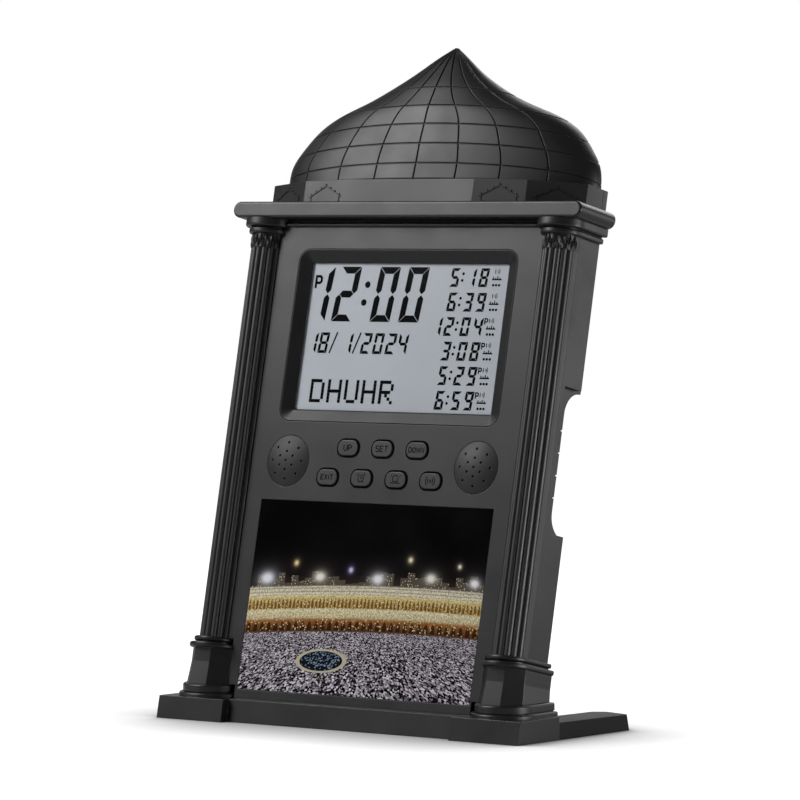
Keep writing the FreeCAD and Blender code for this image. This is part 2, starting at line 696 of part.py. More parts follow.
# ---------------------------------------------------------------------------------------------
# Housing: front shell and rear cover
# ---------------------------------------------------------------------------------------------
PANEL_EDGE = "(column_x - column_radius - column_gap)"
NOTCH_INNER = "(column_x - pedestal_reach - fit)"
BLOCK_INNER = "(column_x - lower_moulding_reach - fit)"
COVER_REACH = "(side_reach - side_wall - fit)"
COVER_BACK = "(cover_back + zone_rise)"


def slab_profile(front, back, floor, top):
    """Side outline of a leaning slab that stands on a level plane."""
    return [(front, level(floor, front)), (back, level(floor, back)), (back, top), (front, top)]


def cut_corners(body, above, outer):
    """Take out the lower corners, where the mouldings and the pedestals stand."""
    low = [("-1", "0"), ("cover_back + 1", "0")]
    low.append(("cover_back + 1", level(MOULDINGS_HIGH, "cover_back + 1")))
    low.append(("-1", level(MOULDINGS_HIGH, "-1")))
    cut_sides(body, BLOCK_INNER, outer, low)
    corner = rectangle(NOTCH_INNER, "0", outer, above)
    cut(body, "y", "-1", "cover_back + 1", corner, mirrored(corner))


def button_places():
    """Name and middle of each button."""
    upper = [("button_up", "-button_pitch"), ("button_set", "0"), ("button_down", "button_pitch")]
    lower = [
        ("button_exit", "-1.5 * button_pitch"),
        ("button_alarm", "-0.5 * button_pitch"),
        ("button_light", "0.5 * button_pitch"),
        ("button_sound", "1.5 * button_pitch"),
    ]
    places = [(name, x, "button_upper_row") for name, x in upper]
    return places + [(name, x, "button_lower_row") for name, x in lower]


def button_outline(across, along, margin):
    """Rounded outline of a button, grown by a margin."""
    half_width = "(button_width / 2 + %s)" % margin
    half_height = "(button_height / 2 + %s)" % margin
    return rounded_rectangle(
        "(%s) - %s" % (across, half_width),
        "(%s) - %s" % (along, half_height),
        "(%s) + %s" % (across, half_width),
        "(%s) + %s" % (along, half_height),
        "button_corner + " + margin,
    )


def four_posts(across, low, high, radius):
    """Circles at the four corners of a board."""
    return [(x, z, radius) for x in (across, "-" + across) for z in (low, high)]


def boss_places():
    """Middle of each screw boss."""
    return [(x, z) for x in ("boss_x", "-boss_x") for z in ("boss_low", "boss_high")]


BOARD_POST_LOW = "(board_low + board_post_margin)"
BOARD_POST_HIGH = "(board_high - board_post_margin)"
KEYPAD_FRONT = "(panel_thickness + button_flange_thickness + button_travel + fit)"
KEY_BOARD_FRONT = "(" + KEYPAD_FRONT + " + keypad_thickness)"
DISPLAY_BACK = "(bezel_back + display_thickness)"
BACKLIGHT_BACK = "(" + DISPLAY_BACK + " + backlight_thickness)"
MAIN_BOARD_FRONT = "(" + BACKLIGHT_BACK + " + fit)"


def make_front_shell():
    """Front panel, column seats, side walls, top and bottom in one moulding."""
    body = new_body("front_shell")
    reach = "side_reach"
    top_inside = "housing_top - side_wall"
    seat_back = "(column_seat + side_wall)"
    add(body, "x", "-" + reach, reach, slab_profile("0", "housing_depth", "plinth_height", "housing_top"))
    inside = slab_profile("panel_thickness", "housing_depth + 1", "plinth_height + side_wall", top_inside)
    cut(body, "x", "-(side_reach - side_wall)", "side_reach - side_wall", inside)
    seat = [
        (PANEL_EDGE + " - side_wall", "panel_thickness - 1"),
        (PANEL_EDGE, "panel_thickness - 1"),
        (PANEL_EDGE, "column_seat"),
        ("side_reach - 1", "column_seat"),
        ("side_reach - 1", seat_back),
        (PANEL_EDGE + " - side_wall", seat_back),
    ]
    add(body, "z", "column_low", "housing_top - 1", seat, mirrored(seat))
    rebate = rectangle(PANEL_EDGE, "-1", "side_reach + 1", "column_seat")
    cut(body, "z", "-1", "housing_top + 1", rebate, mirrored(rebate))
    cut_corners(body, "column_low", "side_reach + 1")
    notch = rectangle("notch_front", "notch_low", "housing_depth + 1", "notch_high")
    cut_sides(body, "side_reach - side_wall - 1", "side_reach + 1", notch)

    bezel_hole = rounded_rectangle(
        "-bezel_half_width", "bezel_low", "bezel_half_width", "bezel_high", "bezel_corner"
    )
    holes = [bezel_hole]
    holes += [button_outline(x, z, "button_gap") for name, x, z in button_places()]
    holes += [(x, "speaker_middle", "grille_radius + fit / 2") for x in ("speaker_offset", "-speaker_offset")]
    cut(body, "y", "-1", "panel_thickness + 0.5", *holes)
    picture = rectangle(
        "-picture_half_width - picture_gap",
        "picture_low - picture_gap",
        "picture_half_width + picture_gap",
        "picture_high + picture_gap",
    )
    cut(body, "y", "-1", "picture_recess", picture)

    bead_reach = "(column_x - capital_upper_ring_radius - fit)"
    bead_middle = "(bead_low + bead_height / 2)"
    round_start = "(bead_height / 2 - bead_rise)"
    bead = [
        ("1", "bead_low"),
        ("1", "bead_low + bead_height"),
        (round_start, "bead_low + bead_height", round_start, bead_middle, 1),
        (round_start, "bead_low"),
    ]
    add(body, "x", "-" + bead_reach, bead_reach, bead)

    board_posts = four_posts("board_post_x", BOARD_POST_LOW, BOARD_POST_HIGH, "board_post_radius")
    add(body, "y", "panel_thickness - 1", MAIN_BOARD_FRONT, *board_posts)
    key_posts = four_posts("key_post_x", "key_post_low", "key_post_high", "key_post_radius")
    add(body, "y", "panel_thickness - 1", KEY_BOARD_FRONT, *key_posts)
    bosses = [(x, z, "boss_radius") for x, z in boss_places()]
    bores = [(x, z, "boss_hole_radius") for x, z in boss_places()]
    cover_inside = "(cover_back - cover_wall)"
    add(body, "y", seat_back + " - 1", cover_inside, *bosses)
    cut(body, "y", seat_back + " + 1", cover_inside + " + 1", *bores)
    return keep(body)


def valley_profile(wall, floor, top, front, back):
    """Side outline of the rear cover, with the valley's quarter-round coves, set in by a wall."""
    cove = "(cover_back - valley_floor + %s)" % wall
    low_middle = "(valley_low + cover_back - valley_floor)"
    high_middle = "(valley_high - cover_back + valley_floor)"
    valley = "(valley_floor - %s)" % wall
    edge = "(sqrt(%s * %s - %s * %s))" % (cove, cove, wall, wall)
    return [
        (front, level(floor, front)),
        (back, level(floor, back)),
        (back, low_middle + " - " + edge, "cover_back", low_middle, -1),
        (valley, low_middle),
        (valley, high_middle, "cover_back", high_middle, -1),
        (back, high_middle + " + " + edge),
        (back, top),
        (front, top),
    ]


TRAY_HALF_WIDTH = "(cell_length / 2 + contact_room)"
TRAY_HIGH = "(tray_low + (cell_count - 1) * cell_pitch + cell_diameter + 2 * fit)"
OPENING_HALF_WIDTH = "(" + TRAY_HALF_WIDTH + " + tray_ledge)"
OPENING_LOW = "(tray_low - tray_ledge)"
OPENING_HIGH = "(" + TRAY_HIGH + " + tray_ledge)"
DOOR_INSIDE = "(cover_back + zone_rise - door_thickness)"
CELL_Y = "(" + DOOR_INSIDE + " - fit - cell_diameter / 2)"
TRAY_FLOOR = "(" + CELL_Y + " - cell_diameter / 2 - fit)"


def make_rear_cover():
    """Tub that closes the housing from behind, with its valley and two raised parts."""
    body = new_body("rear_cover")
    floor = "plinth_height + side_wall + fit"
    top = "(housing_top - side_wall - fit)"
    zone_half_width = "(%s + zone_margin)" % OPENING_HALF_WIDTH
    zone_low = "(%s - zone_margin)" % OPENING_LOW
    zone_high = "(%s + zone_margin)" % OPENING_HIGH
    neck_high = "(housing_top + cornice_height)"
    outer = valley_profile("0", floor, top, "notch_front", "cover_back")
    add(body, "x", "-" + COVER_REACH, COVER_REACH, outer)
    cut_corners(body, "column_low", "side_reach + 1")
    zone = rounded_rectangle("-" + zone_half_width, zone_low, zone_half_width, zone_high, "zone_margin")
    neck = rectangle("-neck_half_width", "neck_low", "neck_half_width", neck_high)
    add(body, "y", "cover_back - 1", COVER_BACK, zone, neck)

    inside_back = "(cover_back - cover_wall)"
    upper = valley_profile(
        "cover_wall", floor + " + cover_wall", top + " - cover_wall", "notch_front - 1", inside_back
    )
    upper[0] = (upper[0][0], "column_low + cover_wall")
    upper[1] = (upper[1][0], "column_low + cover_wall")
    cut(body, "x", "-(%s - cover_wall)" % COVER_REACH, COVER_REACH + " - cover_wall", upper)
    lower_top = "column_low + cover_wall + 1"
    lower = slab_profile("notch_front - 1", inside_back, floor + " + cover_wall", lower_top)
    lower_reach = "(%s - cover_wall)" % BLOCK_INNER
    cut(body, "x", "-" + lower_reach, lower_reach, lower)
    zone_inside = rectangle(
        "-(%s - cover_wall)" % zone_half_width,
        zone_low + " + cover_wall",
        zone_half_width + " - cover_wall",
        zone_high + " - cover_wall",
    )
    neck_inside = rectangle(
        "-(neck_half_width - cover_wall)",
        "neck_low + cover_wall",
        "neck_half_width - cover_wall",
        top + " - cover_wall",
    )
    cut(body, "y", inside_back + " - 1", COVER_BACK + " - cover_wall", zone_inside, neck_inside)
    opening = rectangle("-" + OPENING_HALF_WIDTH, OPENING_LOW, OPENING_HALF_WIDTH, OPENING_HIGH)
    cut(body, "y", inside_back, COVER_BACK + " + 1", opening)
    for number in range(int(size("groove_count"))):
        low = "(groove_first + %d * groove_pitch)" % number
        groove = rectangle("valley_floor - groove_depth", low, "valley_floor + 1", low + " + groove_height")
        cut(body, "x", "-(%s + 1)" % COVER_REACH, COVER_REACH + " + 1", groove)
    holes = [(x, z, "boss_hole_radius + fit") for x, z in boss_places()]
    cut(body, "y", inside_back + " - 1", "cover_back + 1", *holes)
    recesses = [(x, z, "screw_head_radius + fit") for x, z in boss_places()]
    cut(body, "y", "cover_back - screw_head_depth", "cover_back + 1", *recesses)
    return keep(body)


# ---------------------------------------------------------------------------------------------
# Columns, pedestals and capitals: right-hand pieces and their mirror images
# ---------------------------------------------------------------------------------------------
def ring_outline(radius):
    """Plan of a ring round a column."""
    return round_front(radius, "column_x", "column_y", "housing_depth")


def is_ring_edge(radius, heights):
    """A test for the outer level edges of a ring."""
    def chosen(edge):
        box = edge.BoundBox
        if box.ZLength > SAME:
            return False
        if min(abs(box.ZMin - size(height)) for height in heights) > SAME:
            return False
        middle = edge.valueAt((edge.FirstParameter + edge.LastParameter) / 2)
        reach = size(radius)
        from_middle = Vector(middle.x - size("column_x"), middle.y - size("column_y"), 0)
        on_front = middle.y < size("column_y") and abs(from_middle.Length - reach) < SAME
        on_side = abs(abs(from_middle.x) - reach) < SAME and middle.y < size("housing_depth") - SAME
        return on_front or on_side
    return chosen


def make_pedestal():
    """Eight-sided pedestal with a splayed foot and two rings."""
    body = new_body("pedestal_right")
    outline = octagon_front("pedestal_reach", "column_x", "pedestal_y", "housing_depth")
    flare_high = "(%s + flare_height)" % level(MOULDINGS_HIGH, "0")
    add(body, "z", flare_high + " - 1", "pedestal_high", outline)
    drawing = draw(body, "z", flare_high, [outline])
    splay = body.newObject("PartDesign::Pad", "splay")
    splay.Profile = drawing
    splay.Reversed = True
    splay.setExpression("Length", bind("flare_height + pedestal_reach * tan(lean_angle * 1deg) + 2"))
    splay.setExpression("TaperAngle", bind("flare_angle"))
    core = "ring_core_radius"
    add(body, "z", "pedestal_high - 0.5", "column_low", ring_outline(core))
    add(body, "z", "pedestal_high", "pedestal_lower_ring_high", ring_outline("pedestal_lower_ring_radius"))
    add(body, "z", "pedestal_upper_ring_low", "column_low", ring_outline("pedestal_upper_ring_radius"))
    lower_levels = ("pedestal_high", "pedestal_lower_ring_high")
    round_edges(body, "ring_edge", is_ring_edge("pedestal_lower_ring_radius", lower_levels))
    upper_levels = ("pedestal_upper_ring_low", "column_low")
    round_edges(body, "ring_edge", is_ring_edge("pedestal_upper_ring_radius", upper_levels))
    far = "cutter_reach"
    below = [
        ("-" + far, "-" + far),
        (far, "-" + far),
        (far, level(MOULDINGS_HIGH, far)),
        ("-" + far, level(MOULDINGS_HIGH, "-" + far)),
    ]
    cut(body, "x", "0", "side_reach + " + far, below)
    inner = "(column_x - pedestal_reach)"
    beside_shell = rectangle(inner + " - " + far, "-" + far, inner, "column_low + 1")
    behind_cover = rectangle(inner + " - " + far, "-" + far, "side_reach + " + far, "column_low + 1")
    cut(body, "y", "0", far, beside_shell)
    cut(body, "y", "housing_depth", far, behind_cover)
    inside = octagon_front(
        "pedestal_reach - pedestal_wall", "column_x", "pedestal_y", "housing_depth - pedestal_wall"
    )
    cut(body, "z", "-" + far, "pedestal_high - pedestal_wall", inside)
    keep_pair(body, "pedestal")


def make_column():
    """Half-round reeded column with a flat back."""
    body = new_body("column_right")
    half_step = "(reed_angle / 2 * 1deg)"
    shoulder = "column_radius * cos(%s)" % half_step
    drop = "column_radius * sin(%s)" % half_step
    inner_shoulder = "core_radius * cos(%s)" % half_step
    inner_drop = "core_radius * sin(%s)" % half_step
    outline = [
        ("column_x - column_radius", "column_seat"),
        ("column_x - column_radius", "column_y"),
        ("column_x - " + shoulder, "column_y - " + drop),
        ("column_x - " + inner_shoulder, "column_y - " + inner_drop, "column_x", "column_y", 1),
        ("column_x + " + inner_shoulder, "column_y - " + inner_drop),
        ("column_x + " + shoulder, "column_y - " + drop),
        ("column_x + column_radius", "column_y"),
        ("column_x + column_radius", "column_seat"),
    ]
    add(body, "z", "column_low", "column_high", outline)
    first = "((reed_count - 1) / 2 * reed_angle * 1deg)"
    out = "(column_radius - reed_radius)"
    reed = ("-%s * sin(%s)" % (out, first), "-%s * cos(%s)" % (out, first), "reed_radius")
    first_reed = add(body, "z", "column_low", "column_high", reed, origin=("column_x", "column_y"))
    repeat_round(body, first_reed, "reed_count", "(reed_count - 1) * reed_angle")
    keep_pair(body, "column")


def make_capital():
    """Neck and two rings of the capital, with strips along the side wall."""
    body = new_body("capital_right")
    neck = [
        ("column_x - column_radius", "column_seat"),
        ("column_x - column_radius", "column_y", "column_x", "column_y", 1),
        ("column_x + column_radius", "column_y"),
        ("column_x + column_radius", "column_seat"),
    ]
    add(body, "z", "column_high", "housing_top", neck)
    core = ring_outline("ring_core_radius")
    add(body, "z", "capital_lower_ring_low + 1", "housing_top", core)
    lower = ring_outline("capital_lower_ring_radius")
    add(body, "z", "capital_lower_ring_low", "capital_lower_ring_high", lower)
    upper = ring_outline("capital_upper_ring_radius")
    add(body, "z", "capital_upper_ring_low", "housing_top", upper)
    lower_levels = ("capital_lower_ring_low", "capital_lower_ring_high")
    round_edges(body, "ring_edge", is_ring_edge("capital_lower_ring_radius", lower_levels))
    round_edges(body, "ring_edge", is_ring_edge("capital_upper_ring_radius", ("capital_upper_ring_low",)))
    inner = "column_x - column_radius"
    far = "column_x - 2 * capital_upper_ring_radius"
    behind_panel = rectangle(far, "0", inner, "housing_depth + 1")
    behind_seat = rectangle(far, "column_seat", "side_reach", "housing_depth + 1")
    cut(body, "z", "column_high - 1", "housing_top + 1", behind_panel)
    cut(body, "z", "column_high - 1", "housing_top + 1", behind_seat)
    keep_pair(body, "capital")


# ---------------------------------------------------------------------------------------------
# Cornice, drum and dome
# ---------------------------------------------------------------------------------------------
CORNICE_HIGH = "(housing_top + cornice_height)"
DRUM_HIGH = "(housing_top + cornice_height + drum_height)"


def make_cornice():
    """Slab with full round ends, hollow under the drum."""
    body = new_body("cornice")
    end = "(cornice_half_width - cornice_height / 2)"
    middle = "(housing_top + cornice_height / 2)"
    outline = [
        ("-" + end, "housing_top"),
        (end, "housing_top", end, middle, 1),
        (end, CORNICE_HIGH),
        ("-" + end, CORNICE_HIGH, "-" + end, middle, 1),
    ]
    add(body, "y", "-cornice_front", "cornice_back", outline)
    round_edges(body, "cornice_edge", lambda edge: edge.BoundBox.YMax < -size("cornice_front") + SAME)
    wall = "drum_wall"
    pocket = rectangle(
        "-drum_second_x", "drum_second_y + 2 * " + wall, "drum_second_x", "cornice_back - 2 * " + wall
    )
    cut(body, "z", "housing_top + " + wall, CORNICE_HIGH + " + 1", pocket)
    return keep(body)


def drum_half(inset):
    """Right half of the drum's front outline, from its side to its front, set in by a wall."""
    return [
        ("drum_side_x - %s" % inset, "drum_side_y + drum_wall_corner * %s" % inset),
        ("drum_second_x - drum_wall_bevel * %s" % inset, "drum_second_y + %s" % inset),
        ("drum_front_half_width", "-drum_front + %s" % inset),
    ]


def make_drum_front():
    """Faceted band under the dome, closed on top and open below."""
    body = new_body("drum_front")
    back = "(parting_y - seam / 2)"
    for inset, low, high, work in (
        ("0", CORNICE_HIGH, DRUM_HIGH, add),
        ("drum_wall", CORNICE_HIGH + " - 1", DRUM_HIGH + " - drum_wall", cut),
    ):
        right = drum_half(inset)
        left = mirrored(right)[::-1]
        rear = back if work is add else back + " - drum_wall"
        corners = [("drum_side_x - " + inset, rear)] + right + left + [("-(drum_side_x - %s)" % inset, rear)]
        work(body, "z", low, high, corners)
    return keep(body)


def make_drum_back():
    """Rear part of the band, with bevelled rear corners."""
    body = new_body("drum_back")
    front = "(parting_y + seam / 2)"
    for inset, low, high, work in (
        ("0", CORNICE_HIGH, DRUM_HIGH, add),
        ("drum_wall", CORNICE_HIGH + " - 1", DRUM_HIGH + " - drum_wall", cut),
    ):
        right = [
            ("drum_side_x - " + inset, front + " + " + inset),
            ("drum_side_x - " + inset, "drum_rear_corner_y - drum_rear_bevel * " + inset),
            ("drum_rear_half_width - drum_rear_bevel * " + inset, "drum_back_y - " + inset),
        ]
        work(body, "z", low, high, right + mirrored(right)[::-1])
    return keep(body)


HOLLOW_FROM = 2.5  # the dome is hollow where its front half is deeper than so many walls


def dome_section(height, half_width, middle, depth):
    """Oval of two half ellipses, the rear one flatter."""
    centre = Vector(0, middle, height)
    rear = depth * size("dome_rear_ratio")
    front_oval = Part.Ellipse(Vector(half_width, middle, height), Vector(0, middle - depth, height), centre)
    rear_oval = Part.Ellipse(Vector(-half_width, middle, height), Vector(0, middle + rear, height), centre)
    arcs = [Part.ArcOfEllipse(oval, 0, math.pi).toShape() for oval in (front_oval, rear_oval)]
    return Part.Wire(arcs)


def plain_feature(label, shape):
    """A document object that holds a finished shape."""
    feature = doc.addObject("Part::Feature", label)
    feature.Shape = shape
    return feature


def make_dome():
    """Onion dome lofted through oval sections, hollow, in a front and a rear moulding."""
    foot = DOME_SECTIONS[0][0]
    rise = size(DRUM_HIGH) - foot
    wall = size("dome_wall")
    stretch = size("dome_half_width") / DOME_SECTIONS[0][1]
    outer = []
    inner = []
    for height, width, middle, depth in DOME_SECTIONS:
        outer.append(dome_section(height + rise, width * stretch, middle, depth))
        if depth > HOLLOW_FROM * wall:
            inner.append(dome_section(height + rise - wall, width * stretch - wall, middle, depth - wall))
    solid = plain_feature("dome_outside", Part.makeLoft(outer, True))
    hollow = plain_feature("dome_inside", Part.makeLoft(inner, True))
    shell = doc.addObject("Part::Cut", "dome_shell")
    shell.Base = solid
    shell.Tool = hollow
    halves = (
        ("dome_front", "parting_y - seam / 2 - dome_room"),
        ("dome_back", "parting_y + seam / 2"),
    )
    for label, start in halves:
        room = doc.addObject("Part::Box", label + "_room")
        room.setExpression("Length", bind("2 * drum_side_x"))
        room.setExpression("Width", bind("dome_room"))
        room.setExpression("Height", bind("dome_room"))
        room.setExpression("Placement.Base.x", bind("-drum_side_x"))
        room.setExpression("Placement.Base.y", bind(start))
        room.setExpression("Placement.Base.z", bind(DRUM_HIGH))
        half = doc.addObject("Part::Common", label)
        half.Label = label
        half.Base = shell
        half.Tool = room
        half.Placement = FreeCAD.Placement(Vector(), FreeCAD.Rotation(Vector(-1, 0, 0), size("lean_angle")))
        half.setExpression("Placement.Rotation.Angle", bind("lean_angle"))
        keep(half)


# ---------------------------------------------------------------------------------------------
# Display and picture
# ---------------------------------------------------------------------------------------------
def screen_outline(margin):
    """Rectangle of the visible screen, grown by a margin."""
    return rectangle(
        "-(screen_half_width + %s)" % margin,
        "screen_low - (%s)" % margin,
        "screen_half_width + %s" % margin,
        "screen_high + %s" % margin,
    )


def make_bezel():
    """Frame round the display that slopes in to the window, held by a flange behind the panel."""
    body = new_body("display_bezel")

    def frame(margin, corner):
        return rounded_rectangle(
            "-(bezel_half_width + %s)" % margin,
            "bezel_low - (%s)" % margin,
            "bezel_half_width + %s" % margin,
            "bezel_high + %s" % margin,
            corner,
        )

    add(body, "y", "0", "bezel_back", frame("-bezel_gap", "bezel_corner - bezel_gap"))
    flange = frame("bezel_flange", "bezel_corner + bezel_flange")
    add(body, "y", "panel_thickness", "bezel_back", flange)
    lip = frame("-bezel_gap - bezel_lip", "bezel_corner - bezel_gap - bezel_lip")
    screen = rounded_rectangle(
        "-screen_half_width", "screen_low", "screen_half_width", "screen_high", "screen_corner"
    )
    front = draw(body, "y", "0", [lip])
    rear = draw(body, "y", "bezel_depth", [screen])
    slope = body.newObject("PartDesign::SubtractiveLoft", "slope")
    slope.Profile = front
    slope.Sections = [rear]
    slope.Ruled = True
    cut(body, "y", "bezel_depth - 0.5", "bezel_back + 1", screen)
    cut(body, "y", "bezel_depth", "bezel_back + 1", screen_outline("window_margin + fit"))
    return keep(body)


def make_plate(label, front, back, outline, *more):
    """A flat leaning plate."""
    body = new_body(label)
    add(body, "y", front, back, outline, *more)
    return keep(body)


def make_main_board():
    """Circuit board on four posts, with its processor on the rear."""
    body = new_body("main_board")
    outline = rectangle("-board_half_width", "board_low", "board_half_width", "board_high")
    back = MAIN_BOARD_FRONT + " + board_thickness"
    add(body, "y", MAIN_BOARD_FRONT, back, outline)
    middle = "(board_low + board_high) / 2"
    half = "chip_size / 2"
    chip = rectangle("-" + half, middle + " - " + half, half, middle + " + " + half)
    add(body, "y", back, back + " + chip_thickness", chip)
    return keep(body)


# ---------------------------------------------------------------------------------------------
# Buttons and speakers
# ---------------------------------------------------------------------------------------------
def make_button(label, across, along):
    """Key cap with a flange that stops it behind the panel."""
    body = new_body(label)
    flange_back = "panel_thickness + button_flange_thickness"
    add(body, "y", "-button_rise", flange_back, button_outline(across, along, "0"))
    round_edges(body, "button_rise / 2", lambda edge: edge.BoundBox.YMax < -size("button_rise") + SAME)
    add(body, "y", "panel_thickness", flange_back, button_outline(across, along, "button_flange"))
    return keep(body)


def make_keypad():
    """Rubber sheet behind the key caps."""
    outline = rectangle("-keypad_half_width", "keypad_low", "keypad_half_width", "keypad_high")
    holes = four_posts("key_post_x", "key_post_low", "key_post_high", "key_post_radius + fit")
    make_plate("keypad", KEYPAD_FRONT, KEY_BOARD_FRONT, outline, *holes)
    make_plate("key_board", KEY_BOARD_FRONT, KEY_BOARD_FRONT + " + board_thickness", outline)


def make_grille():
    """Domed speaker grille with a ring of holes, held by a flange behind the panel."""
    body = new_body("speaker_grille_right")
    flange_front = "panel_thickness"
    flange_back = "(panel_thickness + grille_flange_thickness)"
    bulge = "((grille_radius * grille_radius + grille_rise * grille_rise) / (2 * grille_rise))"
    middle = "(%s - grille_rise)" % bulge
    inner_radius = "(grille_radius - grille_wall)"
    inner_front = "(%s - sqrt((%s - grille_wall) * (%s - grille_wall) - %s * %s))" % (
        middle, bulge, bulge, inner_radius, inner_radius,
    )
    outline = [
        ("grille_wall - grille_rise", "0"),
        ("-grille_rise", "0", middle, "0", -1),
        ("0", "grille_radius"),
        (flange_front, "grille_radius"),
        (flange_front, "grille_flange_radius"),
        (flange_back, "grille_flange_radius"),
        (flange_back, inner_radius),
        (inner_front, inner_radius, middle, "0", 1),
    ]
    revolve(body, "x", "speaker_offset", ("0", "speaker_middle"), outline)
    place = ("speaker_offset", "speaker_middle")
    hole = "grille_hole_radius"
    cut(body, "y", "-grille_rise - 1", "1", ("0", "0", hole), origin=place)
    rings = (("grille_inner_ring", "grille_inner_count"), ("grille_outer_ring", "grille_outer_count"))
    for ring, count in rings:
        first = cut(body, "y", "-grille_rise - 1", "1", ("0", ring, hole), origin=place)
        repeat_round(body, first, count, "360")
    keep_pair(body, "speaker_grille")


def make_speaker():
    """Loudspeaker: frame, basket and magnet."""
    body = new_body("speaker_right")
    front = "(panel_thickness + grille_flange_thickness)"
    frame_back = "(%s + 1)" % front
    basket_back = "(%s + speaker_depth / 2)" % front
    outline = [
        (front, "0"),
        (front, "grille_flange_radius"),
        (frame_back, "grille_flange_radius"),
        (basket_back, "speaker_magnet_radius + 1"),
        (basket_back, "speaker_magnet_radius"),
        (front + " + speaker_depth", "speaker_magnet_radius"),
        (front + " + speaker_depth", "0"),
    ]
    revolve(body, "x", "speaker_offset", ("0", "speaker_middle"), outline)
    keep_pair(body, "speaker")


# ---------------------------------------------------------------------------------------------
# Batteries
# ---------------------------------------------------------------------------------------------
def make_tray():
    """Battery tray behind the rear cover, with slots for the tongues of the door."""
    body = new_body("battery_tray")
    inner = rectangle("-" + TRAY_HALF_WIDTH, "tray_low", TRAY_HALF_WIDTH, TRAY_HIGH)
    outer = rectangle(
        "-(%s + tray_wall)" % TRAY_HALF_WIDTH,
        "tray_low - tray_wall",
        TRAY_HALF_WIDTH + " + tray_wall",
        TRAY_HIGH + " + tray_wall",
    )
    rim = COVER_BACK + " - cover_wall"
    add(body, "y", TRAY_FLOOR + " - tray_wall / 2", rim, outer)
    cut(body, "y", TRAY_FLOOR, rim + " + 1", inner)
    slot = rectangle(
        "door_tongue_x - door_tongue_width / 2 - fit",
        "tray_low - tray_wall - 1",
        "door_tongue_x + door_tongue_width / 2 + fit",
        "tray_low + 1",
    )
    cut(body, "y", DOOR_INSIDE + " - 3 * door_tongue_thickness", rim + " + 1", slot, mirrored(slot))
    return keep(body)


def make_door():
    """Battery door that turns about its round lower edge, with two tongues that hook under the cover."""
    body = new_body("battery_door")
    hinge_y = "(%s - door_thickness / 2)" % COVER_BACK
    hinge_z = "(%s + door_gap + door_thickness / 2)" % OPENING_LOW
    door_high = OPENING_HIGH + " - door_gap"
    side = [
        (DOOR_INSIDE, hinge_z, hinge_y, hinge_z, 1),
        (COVER_BACK, hinge_z),
        (COVER_BACK, door_high),
        (DOOR_INSIDE, door_high),
    ]
    reach = "(%s - door_gap)" % OPENING_HALF_WIDTH
    add(body, "x", "-" + reach, reach, side)
    skin_inside = "(%s - cover_wall - fit)" % COVER_BACK
    tongue_front = "(%s - door_tongue_thickness)" % skin_inside
    door_low = "(%s + door_gap)" % OPENING_LOW
    left = "door_tongue_x - door_tongue_width / 2"
    right = "door_tongue_x + door_tongue_width / 2"
    root = rectangle(left, door_low, right, door_low + " + door_thickness")
    add(body, "y", tongue_front, DOOR_INSIDE + " + 0.5", root, mirrored(root))
    tongue = rectangle(left, door_low + " - door_tongue_length", right, door_low + " + 0.5")
    add(body, "y", tongue_front, skin_inside, tongue, mirrored(tongue))
    return keep(body)


def cell_height(number):
    """Middle of a cell, counted from the lowest."""
    return "(tray_low + fit + cell_diameter / 2 + %d * cell_pitch)" % number


def make_cells():
    """AA cells lying across the tray, each turned the other way from its neighbour."""
    for number in range(int(size("cell_count"))):
        body = new_body("aa_cell_%d" % (number + 1))
        side = "" if number % 2 == 0 else "-"
        shoulder = "%s(cell_length / 2 - cell_nub_length)" % side
        outline = [
            (("-" if side == "" else "") + "cell_length / 2", "0"),
            (("-" if side == "" else "") + "cell_length / 2", "cell_diameter / 2"),
            (shoulder, "cell_diameter / 2"),
            (shoulder, "cell_nub_radius"),
            (side + "cell_length / 2", "cell_nub_radius"),
            (side + "cell_length / 2", "0"),
        ]
        revolve(body, "y", CELL_Y, ("0", cell_height(number)), outline)
        keep(body)


def make_contacts():
    """Contact strip with one coned spring for each cell."""
    body = new_body("battery_contact_right")
    wall = TRAY_HALF_WIDTH
    strip = rectangle(
        CELL_Y + " - contact_half_width",
        cell_height(0) + " - contact_half_width",
        CELL_Y + " + contact_half_width",
        "%s + (cell_count - 1) * cell_pitch + contact_half_width" % cell_height(0),
    )
    add(body, "x", wall + " - contact_thickness", wall, strip)
    tip = "cell_length / 2 + fit"
    cone = [
        (tip, "0"),
        (tip, "spring_tip_radius"),
        (wall + " - contact_thickness / 2", "spring_radius"),
        (wall + " - contact_thickness / 2", "0"),
    ]
    for number in range(int(size("cell_count"))):
        revolve(body, "y", CELL_Y, ("0", cell_height(number)), cone)
    keep_pair(body, "battery_contact")


# ---------------------------------------------------------------------------------------------
# Assembly and export
# ---------------------------------------------------------------------------------------------
make_plinth()
make_base_plate()
make_foot()
make_front_shell()
make_rear_cover()
make_pedestal()
make_column()
make_capital()
make_cornice()
make_drum_front()
make_drum_back()
make_dome()
make_bezel()
make_plate("display_window", "bezel_depth", "bezel_depth + window_thickness", screen_outline("window_margin"))
make_plate("lcd_panel", "bezel_back", DISPLAY_BACK, screen_outline("display_margin"))
make_plate("backlight", DISPLAY_BACK, BACKLIGHT_BACK, screen_outline("display_margin"))
make_main_board()
make_plate(
    "picture_panel",
    "picture_recess - picture_thickness",
    "picture_recess",
    rectangle("-picture_half_width", "picture_low", "picture_half_width", "picture_high"),
)
for button_name, button_x, button_z in button_places():
    make_button(button_name, button_x, button_z)
make_keypad()
make_grille()
make_speaker()
make_tray()
make_door()
make_cells()
make_contacts()
doc.recompute()

